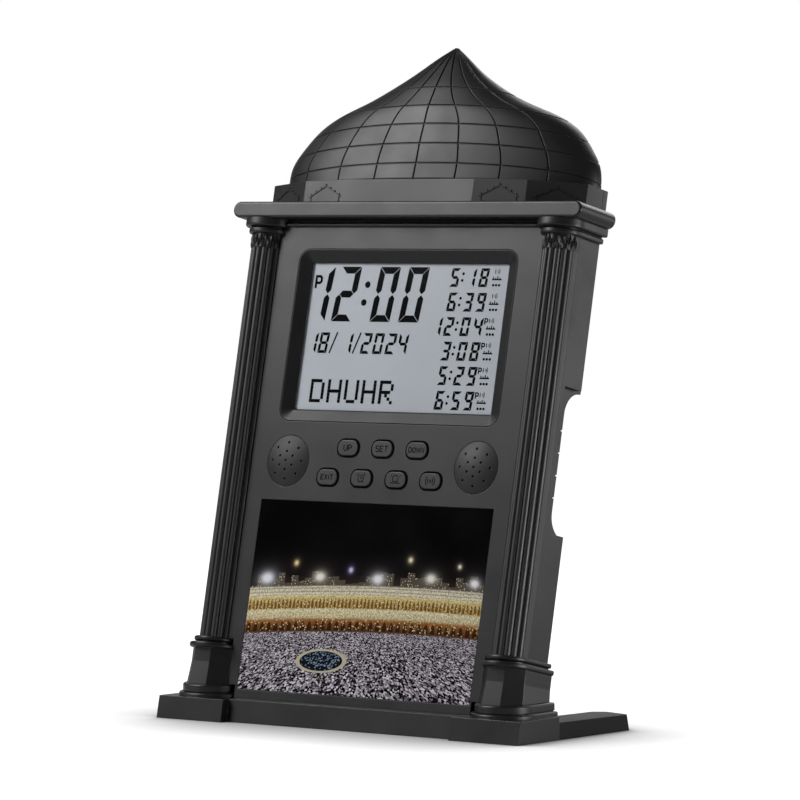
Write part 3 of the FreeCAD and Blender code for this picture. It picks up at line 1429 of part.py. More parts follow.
for item in doc.Objects:
    if "Invalid" in item.State or "Error" in item.State:
        raise RuntimeError("%s in %s failed: %s" % (item.Name, item.Label, item.State))
    if item.TypeId == "PartDesign::Pocket" and item.Shape.Volume >= item.BaseFeature.Shape.Volume:
        raise RuntimeError("%s cuts nothing" % item.Name)
for piece in pieces:
    if piece.Shape.isNull() or not piece.Shape.isValid() or len(piece.Shape.Solids) != 1:
        raise RuntimeError("%s is not one valid solid" % piece.Label)

os.makedirs("parts", exist_ok=True)
for piece in pieces:
    piece.Shape.exportStep(os.path.join("parts", piece.Label + ".step"))
print("%d pieces written" % len(pieces))
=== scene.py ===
"""Looks of a prayer-time clock: a leaning gate-shaped desk clock under a ribbed dome."""

import json
import math

import bmesh
import bpy
from mathutils import Matrix, Vector


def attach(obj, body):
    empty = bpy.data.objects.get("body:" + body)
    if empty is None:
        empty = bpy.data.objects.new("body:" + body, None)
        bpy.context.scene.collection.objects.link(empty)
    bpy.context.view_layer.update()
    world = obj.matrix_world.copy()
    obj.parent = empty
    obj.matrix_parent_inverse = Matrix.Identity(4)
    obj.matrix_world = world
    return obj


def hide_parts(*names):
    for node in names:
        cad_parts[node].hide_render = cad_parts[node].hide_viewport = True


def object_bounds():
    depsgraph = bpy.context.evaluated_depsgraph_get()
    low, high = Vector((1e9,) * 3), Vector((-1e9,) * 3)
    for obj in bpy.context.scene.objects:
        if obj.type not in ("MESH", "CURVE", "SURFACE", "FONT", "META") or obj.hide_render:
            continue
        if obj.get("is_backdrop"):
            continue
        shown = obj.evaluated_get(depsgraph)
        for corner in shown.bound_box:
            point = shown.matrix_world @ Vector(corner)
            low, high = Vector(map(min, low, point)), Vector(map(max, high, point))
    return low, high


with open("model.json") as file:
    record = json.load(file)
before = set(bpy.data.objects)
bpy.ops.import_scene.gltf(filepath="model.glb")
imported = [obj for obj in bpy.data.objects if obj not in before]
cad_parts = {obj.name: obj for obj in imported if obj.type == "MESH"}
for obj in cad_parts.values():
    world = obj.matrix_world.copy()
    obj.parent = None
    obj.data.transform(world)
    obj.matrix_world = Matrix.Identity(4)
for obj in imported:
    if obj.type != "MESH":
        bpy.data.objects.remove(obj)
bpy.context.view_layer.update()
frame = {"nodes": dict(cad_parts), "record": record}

MM = 0.001
LEAN = math.radians(12.0)
TO_WORLD = Matrix.Rotation(-LEAN, 4, "X")


# -------- shader nodes

def plug(tree, socket, value):
    """Give a socket a number, or a link when the value comes from another node."""
    if isinstance(value, bpy.types.NodeSocket):
        tree.links.new(value, socket)
    else:
        socket.default_value = value


def node(tree, kind, inputs=None, **properties):
    """A shader node with its properties set and each input given a number or a link."""
    made = tree.nodes.new(kind)
    for key, value in properties.items():
        setattr(made, key, value)
    for key, value in (inputs or {}).items():
        plug(tree, made.inputs[key], value)
    return made


def math_node(tree, operation, *values):
    """The result socket of one sum."""
    return node(tree, "ShaderNodeMath", dict(enumerate(values)), operation=operation).outputs[0]


def mix_colour(tree, factor, first, second):
    """A colour between two, or the second laid over the first."""
    made = node(tree, "ShaderNodeMix", data_type="RGBA")
    for key, value in (("Factor", factor), (6, first), (7, second)):
        plug(tree, made.inputs[key], value)
    return made.outputs[2]


def grey(shade):
    """A written 0 to 255 shade, or three of them, as a linear colour."""
    shades = shade if isinstance(shade, tuple) else (shade,) * 3
    lit = [s / 255 for s in shades]
    return tuple(((s + 0.055) / 1.055) ** 2.4 if s > 0.04045 else s / 12.92 for s in lit) + (1.0,)


def lifted(shade, lift):
    """A written colour with every part raised, or lowered, and held in range."""
    return tuple(min(255, max(0, s + lift)) for s in shade)


def new_material(name):
    """An empty surface material: (material, its tree, its principled shader)."""
    made = bpy.data.materials.new(name)
    made.use_nodes = True
    tree = made.node_tree
    tree.nodes.clear()
    surface = tree.nodes.new("ShaderNodeBsdfPrincipled")
    output = tree.nodes.new("ShaderNodeOutputMaterial")
    tree.links.new(surface.outputs[0], output.inputs[0])
    return made, tree, surface


def dress(tree, surface, colour, roughness, specular=0.5):
    """Give a surface its colour, roughness and specular level."""
    plug(tree, surface.inputs["Base Color"], colour)
    plug(tree, surface.inputs["Roughness"], roughness)
    surface.inputs["Specular IOR Level"].default_value = specular


def object_place(tree):
    """The point on the object itself, in metres."""
    return node(tree, "ShaderNodeTexCoord").outputs["Object"]


def noise(tree, place, scale, detail=2.0, rough=0.5):
    """A soft random value about 0.5."""
    inputs = {"Vector": place, "Scale": scale, "Detail": detail, "Roughness": rough}
    return node(tree, "ShaderNodeTexNoise", inputs).outputs["Fac"]


def cells(tree, place, scale):
    """The outputs of a pattern of random cells."""
    return node(tree, "ShaderNodeTexVoronoi", {"Vector": place, "Scale": scale}).outputs


def spread(tree, value, low, high, to_low, to_high):
    """value carried from one range to another and held inside it."""
    inputs = {"Value": value, "From Min": low, "From Max": high, "To Min": to_low, "To Max": to_high}
    return node(tree, "ShaderNodeMapRange", inputs, clamp=True).outputs["Result"]


NOISE_LOW, NOISE_HIGH = 0.3, 0.7        # nearly all of a soft random value lies between these


def vary(tree, random, low, high):
    """A soft random value made to run from low to high."""
    return spread(tree, random, NOISE_LOW, NOISE_HIGH, low, high)


def colour_ramp(tree, value, stops):
    """The colour at a value on a line of (position, shade) stops, the first at 0 and the last at 1."""
    made = node(tree, "ShaderNodeValToRGB", {"Fac": value})
    elements = made.color_ramp.elements
    elements[0].color, elements[1].color = grey(stops[0][1]), grey(stops[-1][1])
    for position, shade in stops[1:-1]:
        elements.new(position).color = grey(shade)
    return made.outputs["Color"]


# -------- plain materials

FLOW_SCALE, SPECK_SCALE, GLOSS_SCALE, PIT_SCALE = 28.0, 900.0, 60.0, 2400.0
FLOW_RANGE, SPECK_RANGE = (0.35, 0.65, 0.0, 1.0), (0.45, 0.75, 0.0, 0.35)      # from and to, for spread
FLOW_TINTS = (0.93, 1.07)
# the edge lift is partly a worn look and partly a painted highlight
SPECK_LIFT, WEAR_AND_HIGHLIGHT_LIFT = 12, 56
EDGE_FROM, EDGE_TO = 0.98, 0.86
SMOOTHER, ROUGHER = 0.04, 0.05
PIT_DEPTH = 0.08 * MM
CRYSTAL_SHADES = ((190, 196, 204), (198, 204, 212), (206, 212, 219))


def plastic(name, shade, roughness, grain=0.12, specular=0.5, wear_and_highlight=0.5, edge=0.45):
    """Moulded plastic: spark-eroded grain, faint flow marks, and edges a little lighter, partly as a worn look and
    partly as a painted highlight.

    edge is how far in from a corner the lighter edge reaches, in millimetres.
    """
    made, tree, surface = new_material(name)
    place = object_place(tree)
    flow = spread(tree, noise(tree, place, FLOW_SCALE, 4.0), *FLOW_RANGE)
    dark, light = (grey(tuple(round(s * tint) for s in shade)) for tint in FLOW_TINTS)
    tinted = mix_colour(tree, flow, dark, light)
    specks = spread(tree, noise(tree, place, SPECK_SCALE, 3.0, 0.6), *SPECK_RANGE)
    speckled = mix_colour(tree, specks, tinted, grey(lifted(shade, SPECK_LIFT)))
    edges = node(tree, "ShaderNodeBevel", {"Radius": edge * MM}, samples=4).outputs[0]
    plain = node(tree, "ShaderNodeNewGeometry").outputs["Normal"]
    agree = node(tree, "ShaderNodeVectorMath", {0: edges, 1: plain}, operation="DOT_PRODUCT")
    # Lighter edges: partly a worn look, partly a painted highlight.
    worn_and_lit = spread(tree, agree.outputs["Value"], EDGE_FROM, EDGE_TO, 0.0, wear_and_highlight)
    coloured = mix_colour(tree, worn_and_lit, speckled, grey(lifted(shade, WEAR_AND_HIGHLIGHT_LIFT)))
    gloss = vary(tree, noise(tree, place, GLOSS_SCALE, 3.0), roughness - SMOOTHER, roughness + ROUGHER)
    dress(tree, surface, coloured, gloss, specular)
    pits = noise(tree, place, PIT_SCALE, 2.0, 0.6)
    grained = {"Strength": grain, "Distance": PIT_DEPTH, "Height": pits, "Normal": edges}
    tree.links.new(node(tree, "ShaderNodeBump", grained).outputs[0], surface.inputs["Normal"])
    return made


def clear(name):
    """A thin clear sheet."""
    made, tree, surface = new_material(name)
    surface.inputs["Alpha"].default_value = 0.03
    haze = noise(tree, object_place(tree), 90.0, 3.0)
    dress(tree, surface, mix_colour(tree, haze, grey(40), grey(48)), vary(tree, haze, 0.05, 0.12), 0.12)
    return made


def metal(name, shade, roughness):
    """Plated metal with fine drawn lines."""
    made, tree, surface = new_material(name)
    lines = noise(tree, object_place(tree), 700.0, 3.0)
    tinted = mix_colour(tree, lines, grey(lifted(shade, -18)), grey(shade))
    dress(tree, surface, tinted, vary(tree, lines, roughness - 0.06, roughness + 0.08))
    surface.inputs["Metallic"].default_value = 1.0
    return made


def liquid_crystal():
    """The pale blue-grey ground of the display, slightly uneven."""
    made, tree, surface = new_material("liquid_crystal")
    place = object_place(tree)
    dull, plain, bright = (grey(shade) for shade in CRYSTAL_SHADES)
    clouds = noise(tree, place, 22.0, 3.0)
    base = mix_colour(tree, vary(tree, clouds, 0.0, 1.0), dull, plain)
    fine = vary(tree, noise(tree, place, 1800.0), 0.0, 0.25)
    dress(tree, surface, mix_colour(tree, fine, base, bright), vary(tree, clouds, 0.32, 0.42), 0.3)
    return made


def flat_ink(name, shade):
    """Matt ink, a little uneven."""
    made, tree, surface = new_material(name)
    patches = noise(tree, object_place(tree), 300.0)
    uneven = mix_colour(tree, patches, grey(lifted(shade, -4)), grey(shade))
    dress(tree, surface, uneven, vary(tree, patches, 0.55, 0.65), 0.02)
    return made


# -------- printed picture

PICTURE_HALF_WIDTH, PICTURE_LOW, PICTURE_HIGH = 64.3, 14.4, 99.7
PICTURE_SHAPE = 0.754       # half the width as a share of the height

# Across in half widths, heights in shares of the height, once the bend is taken out
SQUARE_HIGH = 0.338
ARCADE_LOW, ARCADE_HIGH = 0.345, 0.400
GALLERY_LOW, GALLERY_HIGH = 0.462, 0.520
LEDGES_LOW, WALL_HIGH = 0.53, 0.578
ROOF_LOW, ROOF_RANGE, ROOFS_IN_HALF = 0.585, 0.075, 17.0
ARCH_CROWN, ARCH_CURVE, ARCH_HALF = 0.86, 4.2, 0.30         # in a bay that is 1 wide and 1 high
LEDGE_COUNT, LEDGE_SHARE = 55.0, 0.3
HORIZON, FURTHEST_STONE = 0.62, 0.4
STONES_ACROSS, STONES_ALONG = 40.0, 36.0
BASIN_X, BASIN_HALF_WIDTH, BASIN_Z, BASIN_HALF_HEIGHT = -0.30, 0.22, 0.185, 0.062
WATER_SHARE, GLINT_SHARE, GLINT_CHANCE = 0.84, 0.8, 0.8
WINDOW_CELLS, WINDOW_SIZE, SPARK_CELLS, SPARK_SIZE = 900.0, 0.22, 780.0, 0.28
DAPPLE_SCALE, DAPPLE_RANGE = 1300.0, (0.42, 0.62, 0.0, 0.6)
BEND_MIDDLE, BEND = 0.45, 0.022
GROUND_STOPS = [
    (0.000, (72, 68, 80)), (0.330, (104, 96, 100)), (0.345, (96, 58, 32)), (0.400, (176, 116, 62)),
    (0.415, (236, 222, 176)), (0.455, (255, 246, 206)), (0.462, (208, 168, 90)), (0.520, (246, 224, 150)),
    (0.530, (255, 246, 214)), (0.575, (240, 232, 206)), (0.582, (52, 38, 34)), (0.640, (18, 12, 14)),
    (0.760, (5, 4, 6)), (1.000, (3, 3, 4)),
]
ROOF_COLOUR, WINDOW_COLOUR, SPARK_COLOUR = grey((96, 88, 78)), grey((235, 222, 180)), grey((255, 240, 190))
DAPPLE_COLOUR, LEDGE_COLOUR = grey((64, 42, 22)), grey((120, 112, 92))
RIM_COLOUR, WATER_COLOUR, GLINT_COLOUR = grey((206, 196, 168)), grey((18, 26, 38)), grey((168, 190, 214))
PAVING_STOPS = [(0.0, (6, 5, 7)), (0.38, (14, 12, 15)), (0.62, (146, 136, 150)), (1.0, (255, 250, 255))]
STOREYS = [     # low, high, arches across, shade of an arch
    (GALLERY_LOW, GALLERY_HIGH, 62.0, (118, 74, 30)), (ARCADE_LOW, ARCADE_HIGH, 34.0, (36, 20, 10)),
]
LAMPS = [       # across, height, radius, shade
    (-0.86, 0.625, 0.115, (246, 248, 255)), (-0.62, 0.70, 0.05, (255, 226, 170)),
    (-0.40, 0.625, 0.09, (255, 248, 236)), (-0.14, 0.66, 0.05, (215, 205, 255)),
    (0.10, 0.615, 0.10, (250, 250, 255)), (0.36, 0.72, 0.05, (255, 238, 200)),
    (0.55, 0.63, 0.085, (255, 250, 240)), (0.78, 0.70, 0.04, (255, 244, 220)),
    (0.92, 0.62, 0.08, (255, 252, 255)),
]
WIDE_LAMP, WIDE_SHARE = 0.07, 0.55      # lamps above this radius spread sideways
HALO = 0.06


class NightScene:
    """A printed night view, built in layers: each one is laid over the colour so far."""

    def __init__(self, tree):
        self.tree = tree
        lean = {"Vector": object_place(tree), "Rotation": (LEAN, 0, 0)}
        self.upright = node(tree, "ShaderNodeMapping", lean).outputs[0]
        parts = node(tree, "ShaderNodeSeparateXYZ", {"Vector": self.upright}).outputs
        self.across = self.sum("DIVIDE", parts["X"], PICTURE_HALF_WIDTH * MM)
        up = spread(tree, parts["Z"], PICTURE_LOW * MM, PICTURE_HIGH * MM, 0.0, 1.0)
        aside = self.sum("SUBTRACT", self.across, BEND_MIDDLE)
        self.height = self.sum("ADD", up, self.times(aside, aside, BEND))
        self.colour = colour_ramp(tree, self.height, GROUND_STOPS)

    def sum(self, operation, *values):
        """The result of one sum."""
        return math_node(self.tree, operation, *values)

    def times(self, result, *factors):
        """The product of all the values given."""
        for factor in factors:
            result = self.sum("MULTIPLY", result, factor)
        return result

    def below(self, value, limit):
        """1 where the value lies below the limit."""
        return self.sum("LESS_THAN", value, limit)

    def inside(self, value, low, high):
        """1 where the value lies between two limits."""
        return self.times(self.sum("GREATER_THAN", value, low), self.below(value, high))

    def lay(self, over, *shares):
        """Lay a colour over the one so far, as thickly as the product of the shares."""
        self.colour = mix_colour(self.tree, self.times(*shares), self.colour, over)

    def roofs(self):
        """City roofs with lit windows behind the building."""
        block = self.sum("FLOOR", self.times(self.across, ROOFS_IN_HALF))
        chance = node(self.tree, "ShaderNodeTexWhiteNoise", {"W": block}, noise_dimensions="1D").outputs["Value"]
        roof = self.sum("ADD", self.times(chance, ROOF_RANGE), ROOF_LOW)
        is_roof = self.inside(self.height, WALL_HIGH, roof)
        self.lay(ROOF_COLOUR, is_roof, 0.8)
        window = self.below(cells(self.tree, self.upright, WINDOW_CELLS)["Distance"], WINDOW_SIZE)
        self.lay(WINDOW_COLOUR, is_roof, window)

    def building(self):
        """Two storeys of arches with sparks of light, dappled walls and ledges above."""
        for low, high, count, shade in STOREYS:
            bay = self.sum("SUBTRACT", self.sum("FRACT", self.times(self.across, count / 2)), 0.5)
            rise = spread(self.tree, self.height, low, high, 0.0, 1.0)
            crown = self.sum("SUBTRACT", ARCH_CROWN, self.times(bay, bay, ARCH_CURVE))
            arch = self.times(self.below(self.sum("ABSOLUTE", bay), ARCH_HALF), self.below(rise, crown))
            self.lay(grey(shade), arch, self.inside(self.height, low, high), 0.85)
        spark = self.below(cells(self.tree, self.upright, SPARK_CELLS)["Distance"], SPARK_SIZE)
        self.lay(SPARK_COLOUR, spark, self.inside(self.height, ARCADE_LOW, GALLERY_HIGH), 0.9)
        dapple = spread(self.tree, noise(self.tree, self.upright, DAPPLE_SCALE, 3.0, 0.7), *DAPPLE_RANGE)
        self.lay(DAPPLE_COLOUR, dapple, self.inside(self.height, ARCADE_LOW, WALL_HIGH))
        ledge = self.below(self.sum("FRACT", self.times(self.height, LEDGE_COUNT)), LEDGE_SHARE)
        self.lay(LEDGE_COLOUR, ledge, self.inside(self.height, LEDGES_LOW, WALL_HIGH), 0.5)

    def square(self):
        """A mottled square, coarser towards the viewer, with a round basin in it."""
        level = self.sum("MINIMUM", self.height, FURTHEST_STONE)
        away = self.sum("DIVIDE", 1.0, self.sum("SUBTRACT", HORIZON, level))
        inputs = {"X": self.times(self.across, away, STONES_ACROSS), "Y": self.times(away, STONES_ALONG)}
        paving = node(self.tree, "ShaderNodeCombineXYZ", inputs).outputs[0]
        stones = node(self.tree, "ShaderNodeSeparateColor", {"Color": cells(self.tree, paving, 1.0)["Color"]})
        chance = stones.outputs[0]
        self.lay(colour_ramp(self.tree, chance, PAVING_STOPS), self.below(self.height, SQUARE_HIGH), 0.95)
        x = self.sum("DIVIDE", self.sum("SUBTRACT", self.across, BASIN_X), BASIN_HALF_WIDTH)
        z = self.sum("DIVIDE", self.sum("SUBTRACT", self.height, BASIN_Z), BASIN_HALF_HEIGHT)
        basin = self.sum("SQRT", self.sum("ADD", self.times(x, x), self.times(z, z)))
        self.lay(RIM_COLOUR, self.below(basin, 1.0))
        self.lay(WATER_COLOUR, self.below(basin, WATER_SHARE))
        glint = self.sum("GREATER_THAN", chance, GLINT_CHANCE)
        self.lay(GLINT_COLOUR, self.below(basin, GLINT_SHARE), glint, 0.7)

    def lamps(self):
        """Lamps with haloes above the building."""
        for x, z, radius, shade in LAMPS:
            dx = self.times(self.sum("SUBTRACT", self.across, x), PICTURE_SHAPE)
            dz = self.sum("SUBTRACT", self.height, z)
            level = self.times(dx, dx, WIDE_SHARE if radius > WIDE_LAMP else 1.0)
            near = self.sum("DIVIDE", self.sum("ADD", level, self.times(dz, dz)), radius * radius * HALO)
            self.lay(grey(shade), self.sum("DIVIDE", 1.0, self.sum("ADD", 1.0, self.times(near, near))))


def printed_scene():
    """Glossy print of the night scene, with the fine dots of its printing."""
    made, tree, surface = new_material("printed_panel")
    scene = NightScene(tree)
    scene.roofs()
    scene.building()
    scene.square()
    scene.lamps()
    place = object_place(tree)
    grain = vary(tree, noise(tree, place, 5200.0, 1.0), 0.0, 0.12)
    gloss = vary(tree, noise(tree, place, 40.0), 0.16, 0.24)
    dress(tree, surface, mix_colour(tree, grain, scene.colour, grey(8)), gloss, 0.06)
    return made


# -------- finish of the CAD pieces

charcoal = plastic("charcoal_plastic", (22, 22, 24), 0.36)
carved_plastic = plastic("carved_plastic", (16, 16, 17), 0.4, specular=0.4, wear_and_highlight=0.3, edge=0.12)
satin = plastic("dome_plastic", (15, 15, 16), 0.42, grain=0.06, specular=0.46)
steel = metal("spring_steel", (205, 204, 200), 0.3)
SLOT_MATERIALS = {
    "charcoal_plastic": charcoal,
    "dome_plastic": satin,
    "button_plastic": plastic("button_plastic", (28, 28, 30), 0.4),
    "clear_window": clear("clear_window"),
    "liquid_crystal": liquid_crystal(),
    "white_plastic": plastic("white_plastic", (226, 228, 230), 0.4),
    "circuit_board": plastic("circuit_board", (24, 78, 46), 0.35),
    "printed_panel": printed_scene(),
    "keypad_rubber": plastic("keypad_rubber", (150, 152, 154), 0.62),
    "speaker_metal": metal("speaker_metal", (150, 150, 152), 0.4),
    "cell_jacket": plastic("cell_jacket", (38, 40, 44), 0.3),
    "spring_steel": steel,
}
OWN_MATERIALS = {       # nodes whose names start so have a finish of their own
    "speaker_grille": plastic("grille_plastic", (21, 21, 23), 0.54, grain=0.3),
    "display_bezel": plastic("bezel_plastic", (20, 20, 22), 0.38, specular=0.34),
    # The foot's plastic is a darker, duller copy of the charcoal; its darker shade is painted shade.
    "rear_foot": plastic("foot_plastic", (15, 15, 16), 0.45, specular=0.2),
    # The columns' plastic is a lighter copy of the charcoal: a painted lift of the shade between the reeds.
    "column_": plastic("column_plastic", (30, 30, 32), 0.42, specular=0.7, edge=0.2),
}
node_slots = {n["node"]: n["material_slot"] for n in frame["record"]["subparts"]}
for name, piece in frame["nodes"].items():
    piece.data.materials.clear()
    own = [material for start, material in OWN_MATERIALS.items() if name.startswith(start)]
    piece.data.materials.append(own[0] if own else SLOT_MATERIALS[node_slots[name]])


# -------- pieces

JOIN_WITHIN = 0.002 * MM


def new_object(name, data):
    """An object with its data, put in the scene."""
    made = bpy.data.objects.new(name, data)
    bpy.context.scene.collection.objects.link(made)
    return made


def join_points(mesh, smooth_under):
    """Points in one place become one point, and faces left without area go."""
    work = bmesh.new()
    work.from_mesh(mesh)
    bmesh.ops.remove_doubles(work, verts=work.verts, dist=JOIN_WITHIN)
    bmesh.ops.dissolve_degenerate(work, dist=JOIN_WITHIN, edges=work.edges)
    work.to_mesh(mesh)
    work.free()
    smooth(mesh, smooth_under)


def smooth(mesh, smooth_under):
    """Shade a mesh smooth, but for edges sharper than an angle in degrees."""
    mesh.shade_smooth()
    mesh.set_sharp_from_angle(angle=math.radians(smooth_under))


class Shapes:
    """Points, in millimetres of the upright housing, and faces gathered for one piece.

    Its flat shapes reach from one depth to another.
    """

    def __init__(self, front=0.0, back=0.0):
        self.depths = (front, back)
        self.points = []
        self.faces = []

    def add(self, points, faces):
        """Add points, and faces that count from the first of them."""
        start = len(self.points)
        self.points += points
        self.faces += [tuple(start + i for i in face) for face in faces]

    def slab(self, outline):
        """A flat outline in x and z. It runs anticlockwise seen from the front."""
        count = len(outline)
        points = [(x, depth, z) for depth in self.depths for x, z in outline]
        faces = [tuple(range(count)), tuple(range(2 * count - 1, count - 1, -1))]
        faces += [(i, count + i, count + (i + 1) % count, (i + 1) % count) for i in range(count)]
        self.add(points, faces)

    def ribbon(self, path, width, closed=False):
        """A line of one width through points in x and z."""
        count = len(path)
        sides = ([], [])
        for i, (x, z) in enumerate(path):
            before = path[i - 1] if i or closed else None
            after = path[(i + 1) % count] if i < count - 1 or closed else None
            steps = []
            for start, end in ((before, (x, z)), ((x, z), after)):
                if start and end:
                    steps.append(Vector((end[0] - start[0], end[1] - start[1])).normalized())
            along = (steps[0] + steps[-1]).normalized()
            across = Vector((-along.y, along.x)) * width / 2 / max(0.5, along.dot(steps[0]))
            sides[0].append((x + across.x, z + across.y))
            sides[1].append((x - across.x, z - across.y))
        for i in range(count if closed else count - 1):
            j = (i + 1) % count
            self.slab([sides[1][i], sides[1][j], sides[0][j], sides[0][i]])

    def make(self, name, material, body="housing", smooth_under=None):
        """The piece of all the shapes, leant back and set on its body."""
        mesh = bpy.data.meshes.new(name)
        mesh.from_pydata([TO_WORLD @ (Vector(p) * MM) for p in self.points], [], self.faces)
        mesh.materials.append(material)
        if smooth_under is not None:
            smooth(mesh, smooth_under)
        piece = new_object(name, mesh)
        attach(piece, body)
        return piece


def round_outline(x, z, radius, across=1.0, count=20):
    """A circle or oval in x and z."""
    turns = [2 * math.pi * i / count for i in range(count)]
    return [(x + radius * across * math.cos(t), z + radius * math.sin(t)) for t in turns]


def arc_path(x, z, radius, start, end, steps):
    """Points along an arc, angles in degrees."""
    turns = [math.radians(start + (end - start) * i / steps) for i in range(steps + 1)]
    return [(x + radius * math.cos(t), z + radius * math.sin(t)) for t in turns]


# -------- dome

DOME_SECTIONS = [       # height, half width, middle, front depth
    (244.8, 86.0, 19.0, 22.6), (254.0, 85.0, 18.3, 20.9), (262.0, 80.1, 18.3, 20.2),
    (270.0, 73.0, 18.4, 19.0), (277.0, 61.7, 17.5, 17.0), (283.0, 45.2, 15.0, 12.6),
    (290.0, 30.1, 13.9, 8.8), (298.0, 16.9, 14.2, 5.2), (304.5, 8.0, 15.2, 2.6), (309.2, 1.0, 16.4, 0.6),
]
DOME_FOOT, DOME_TIP = DOME_SECTIONS[0][0], DOME_SECTIONS[-1][0]
DOME_STEPS = 600
DOME_WALL = 1.2
REAR_RATIO = 0.6
SEAM_Y = 20.0
SEAM_GAP = 0.15
SEAM_NEARLY_SHUT, SEAM_SHUT = 0.985, 0.9995
GROOVE_HALF = 0.40
GROOVE_DEPTH = 0.52
GROOVE_STEPS = ((-GROOVE_HALF, 0.0), (-0.4 * GROOVE_HALF, 1.0), (0.4 * GROOVE_HALF, 1.0), (GROOVE_HALF, 0.0))
LEVEL_GROOVES = (252.6, 261.9, 271.0, 279.9, 288.9)
UPRIGHT_GROOVES = (-0.78, -0.52, -0.26, 0.0, 0.26, 0.52, 0.78)
ROW_STEP = 1.3
PARTS_BETWEEN_GROOVES = 9
PARTS_BEHIND = 8
DROOP = 0.28
DROOP_FADE = 12.0
WIDEST_GROOVE, NARROW_DOME = 0.1, 8.0       # share of the half width; half width where grooves grow shallow
SIDE_STEP, UP_STEP, CORE_DROP = 0.01, 0.4, 8        # neighbours that tell which way is out
SEAM_SEARCH, SEAM_HALVINGS = 4.0, 20


def spline_through(knots, values):
    """A natural cubic spline: a function of the knot value."""
    count = len(knots)
    steps = [knots[i + 1] - knots[i] for i in range(count - 1)]
    rise = [(values[i + 1] - values[i]) / steps[i] for i in range(count - 1)]
    diagonal, side = [1.0] * count, [0.0] * count
    for i in range(1, count - 1):
        diagonal[i] = 2 * (steps[i - 1] + steps[i])
        side[i] = 6 * (rise[i] - rise[i - 1])
    for i in range(2, count - 1):
        share = steps[i - 1] / diagonal[i - 1]
        diagonal[i] -= share * steps[i - 1]
        side[i] -= share * side[i - 1]
    bend = [0.0] * count
    for i in range(count - 2, 0, -1):
        bend[i] = (side[i] - steps[i] * bend[i + 1]) / diagonal[i]

    def at(knot):
        i = min(max(sum(k <= knot for k in knots) - 1, 0), count - 2)
        left, right, step = knot - knots[i], knots[i + 1] - knot, steps[i]
        curve = (bend[i] * right ** 3 + bend[i + 1] * left ** 3) / (6 * step)
        low, high = values[i] / step - bend[i] * step / 6, values[i + 1] / step - bend[i + 1] * step / 6
        return curve + low * right + high * left
    return at


knots = [0.0]
for below, above in zip(DOME_SECTIONS, DOME_SECTIONS[1:]):
    knots.append(knots[-1] + math.hypot(above[0] - below[0], above[1] - below[1]))
dome_curves = [spline_through(knots, column) for column in zip(*DOME_SECTIONS)]
dome_table = [tuple(curve(knots[-1] * step / DOME_STEPS) for curve in dome_curves)
              for step in range(DOME_STEPS + 1)]
front_lengths = [0.0]
for (z0, _, m0, d0), (z1, _, m1, d1) in zip(dome_table, dome_table[1:]):
    front_lengths.append(front_lengths[-1] + math.hypot(z1 - z0, (m1 - d1) - (m0 - d0)))


def dome_at(height):
    """Half width, middle and front depth of the dome at a height."""
    height = min(max(height, dome_table[0][0]), dome_table[-1][0])
    low, high = 0, DOME_STEPS
    while high - low > 1:
        middle = (low + high) // 2
        low, high = (middle, high) if dome_table[middle][0] <= height else (low, middle)
    share = (height - dome_table[low][0]) / max(1e-9, dome_table[high][0] - dome_table[low][0])
    return [a + (b - a) * share for a, b in zip(dome_table[low][1:], dome_table[high][1:])]


def length_at(height):
    """The length up the dome's front line to a height."""
    return front_lengths[min(range(DOME_STEPS + 1), key=lambda i: abs(dome_table[i][0] - height))]


def height_at(length):
    """The height at a length up the dome's front line."""
    low = min(min(range(DOME_STEPS + 1), key=lambda i: abs(front_lengths[i] - length)), DOME_STEPS - 1)
    if front_lengths[low] > length and low > 0:
        low -= 1
    share = (length - front_lengths[low]) / max(1e-9, front_lengths[low + 1] - front_lengths[low])
    return dome_table[low][0] + share * (dome_table[low + 1][0] - dome_table[low][0])


def dome_rows():
    """(height at the front, how deep the groove is) of each row, from the foot to the tip."""
    total = front_lengths[-1]
    rows = [(length_at(height) + offset, depth) for height in LEVEL_GROOVES for offset, depth in GROOVE_STEPS]
    marks = [0.0] + [length for length, _ in rows] + [total]
    for start, end in zip(marks, marks[1:]):
        parts = max(1, round((end - start) / ROW_STEP))
        rows += [(start + (end - start) * i / parts, 0.0) for i in range(1, parts)]
    rows += [(0.0, 0.0), (total, 0.0)]
    return [(height_at(length), depth) for length, depth in sorted(rows)]


def dome_point(front_height, across, rear):
    """A point of the dome. across is x as a share of the half width; rear picks the back half.

    Level lines sink away from the front, as on the real dome's tilted rows of panels.
    """
    from_foot = (front_height - DOME_FOOT) / (LEVEL_GROOVES[0] - DOME_FOOT)
    droop = DROOP * min(1.0, from_foot, (DOME_TIP - front_height) / DROOP_FADE)
    round_share = math.sqrt(max(0.0, 1.0 - across * across))
    height = front_height
    for _ in range(6):
        width, middle, depth = dome_at(height)
        height = front_height - droop * depth * (1.0 - round_share)
    width, middle, depth = dome_at(height)
    reach = REAR_RATIO * depth if rear else -depth
    return Vector((across * width, middle + reach * round_share, height))


def dome_columns(height):
    """(x share, groove depth) across one level of the dome, left to right."""
    width = dome_at(height)[0]
    squeeze = min(1.0, width * WIDEST_GROOVE / GROOVE_HALF)
    columns = [(share + offset * squeeze / width, depth * min(1.0, width / NARROW_DOME))
               for share in UPRIGHT_GROOVES for offset, depth in GROOVE_STEPS]
    edges = [-1.0] + [share for share, _ in columns] + [1.0]
    full = []
    for i, (start, end) in enumerate(zip(edges, edges[1:])):
        angle_start, angle_end = (math.acos(max(-1, min(1, share))) for share in (start, end))
        parts = PARTS_BETWEEN_GROOVES if i % len(GROOVE_STEPS) == 0 else 1
        for part in range(1, parts):
            full.append((math.cos(angle_start + (angle_end - angle_start) * part / parts), 0.0))
        if i < len(columns):
            full.append(columns[i])
    return full


def seam_share(height, seam):
    """How far back the seam lies, as a share of the rear half's depth. At 1 the seam shuts."""
    _, middle, depth = dome_at(height)
    return (seam - middle) / (REAR_RATIO * depth)


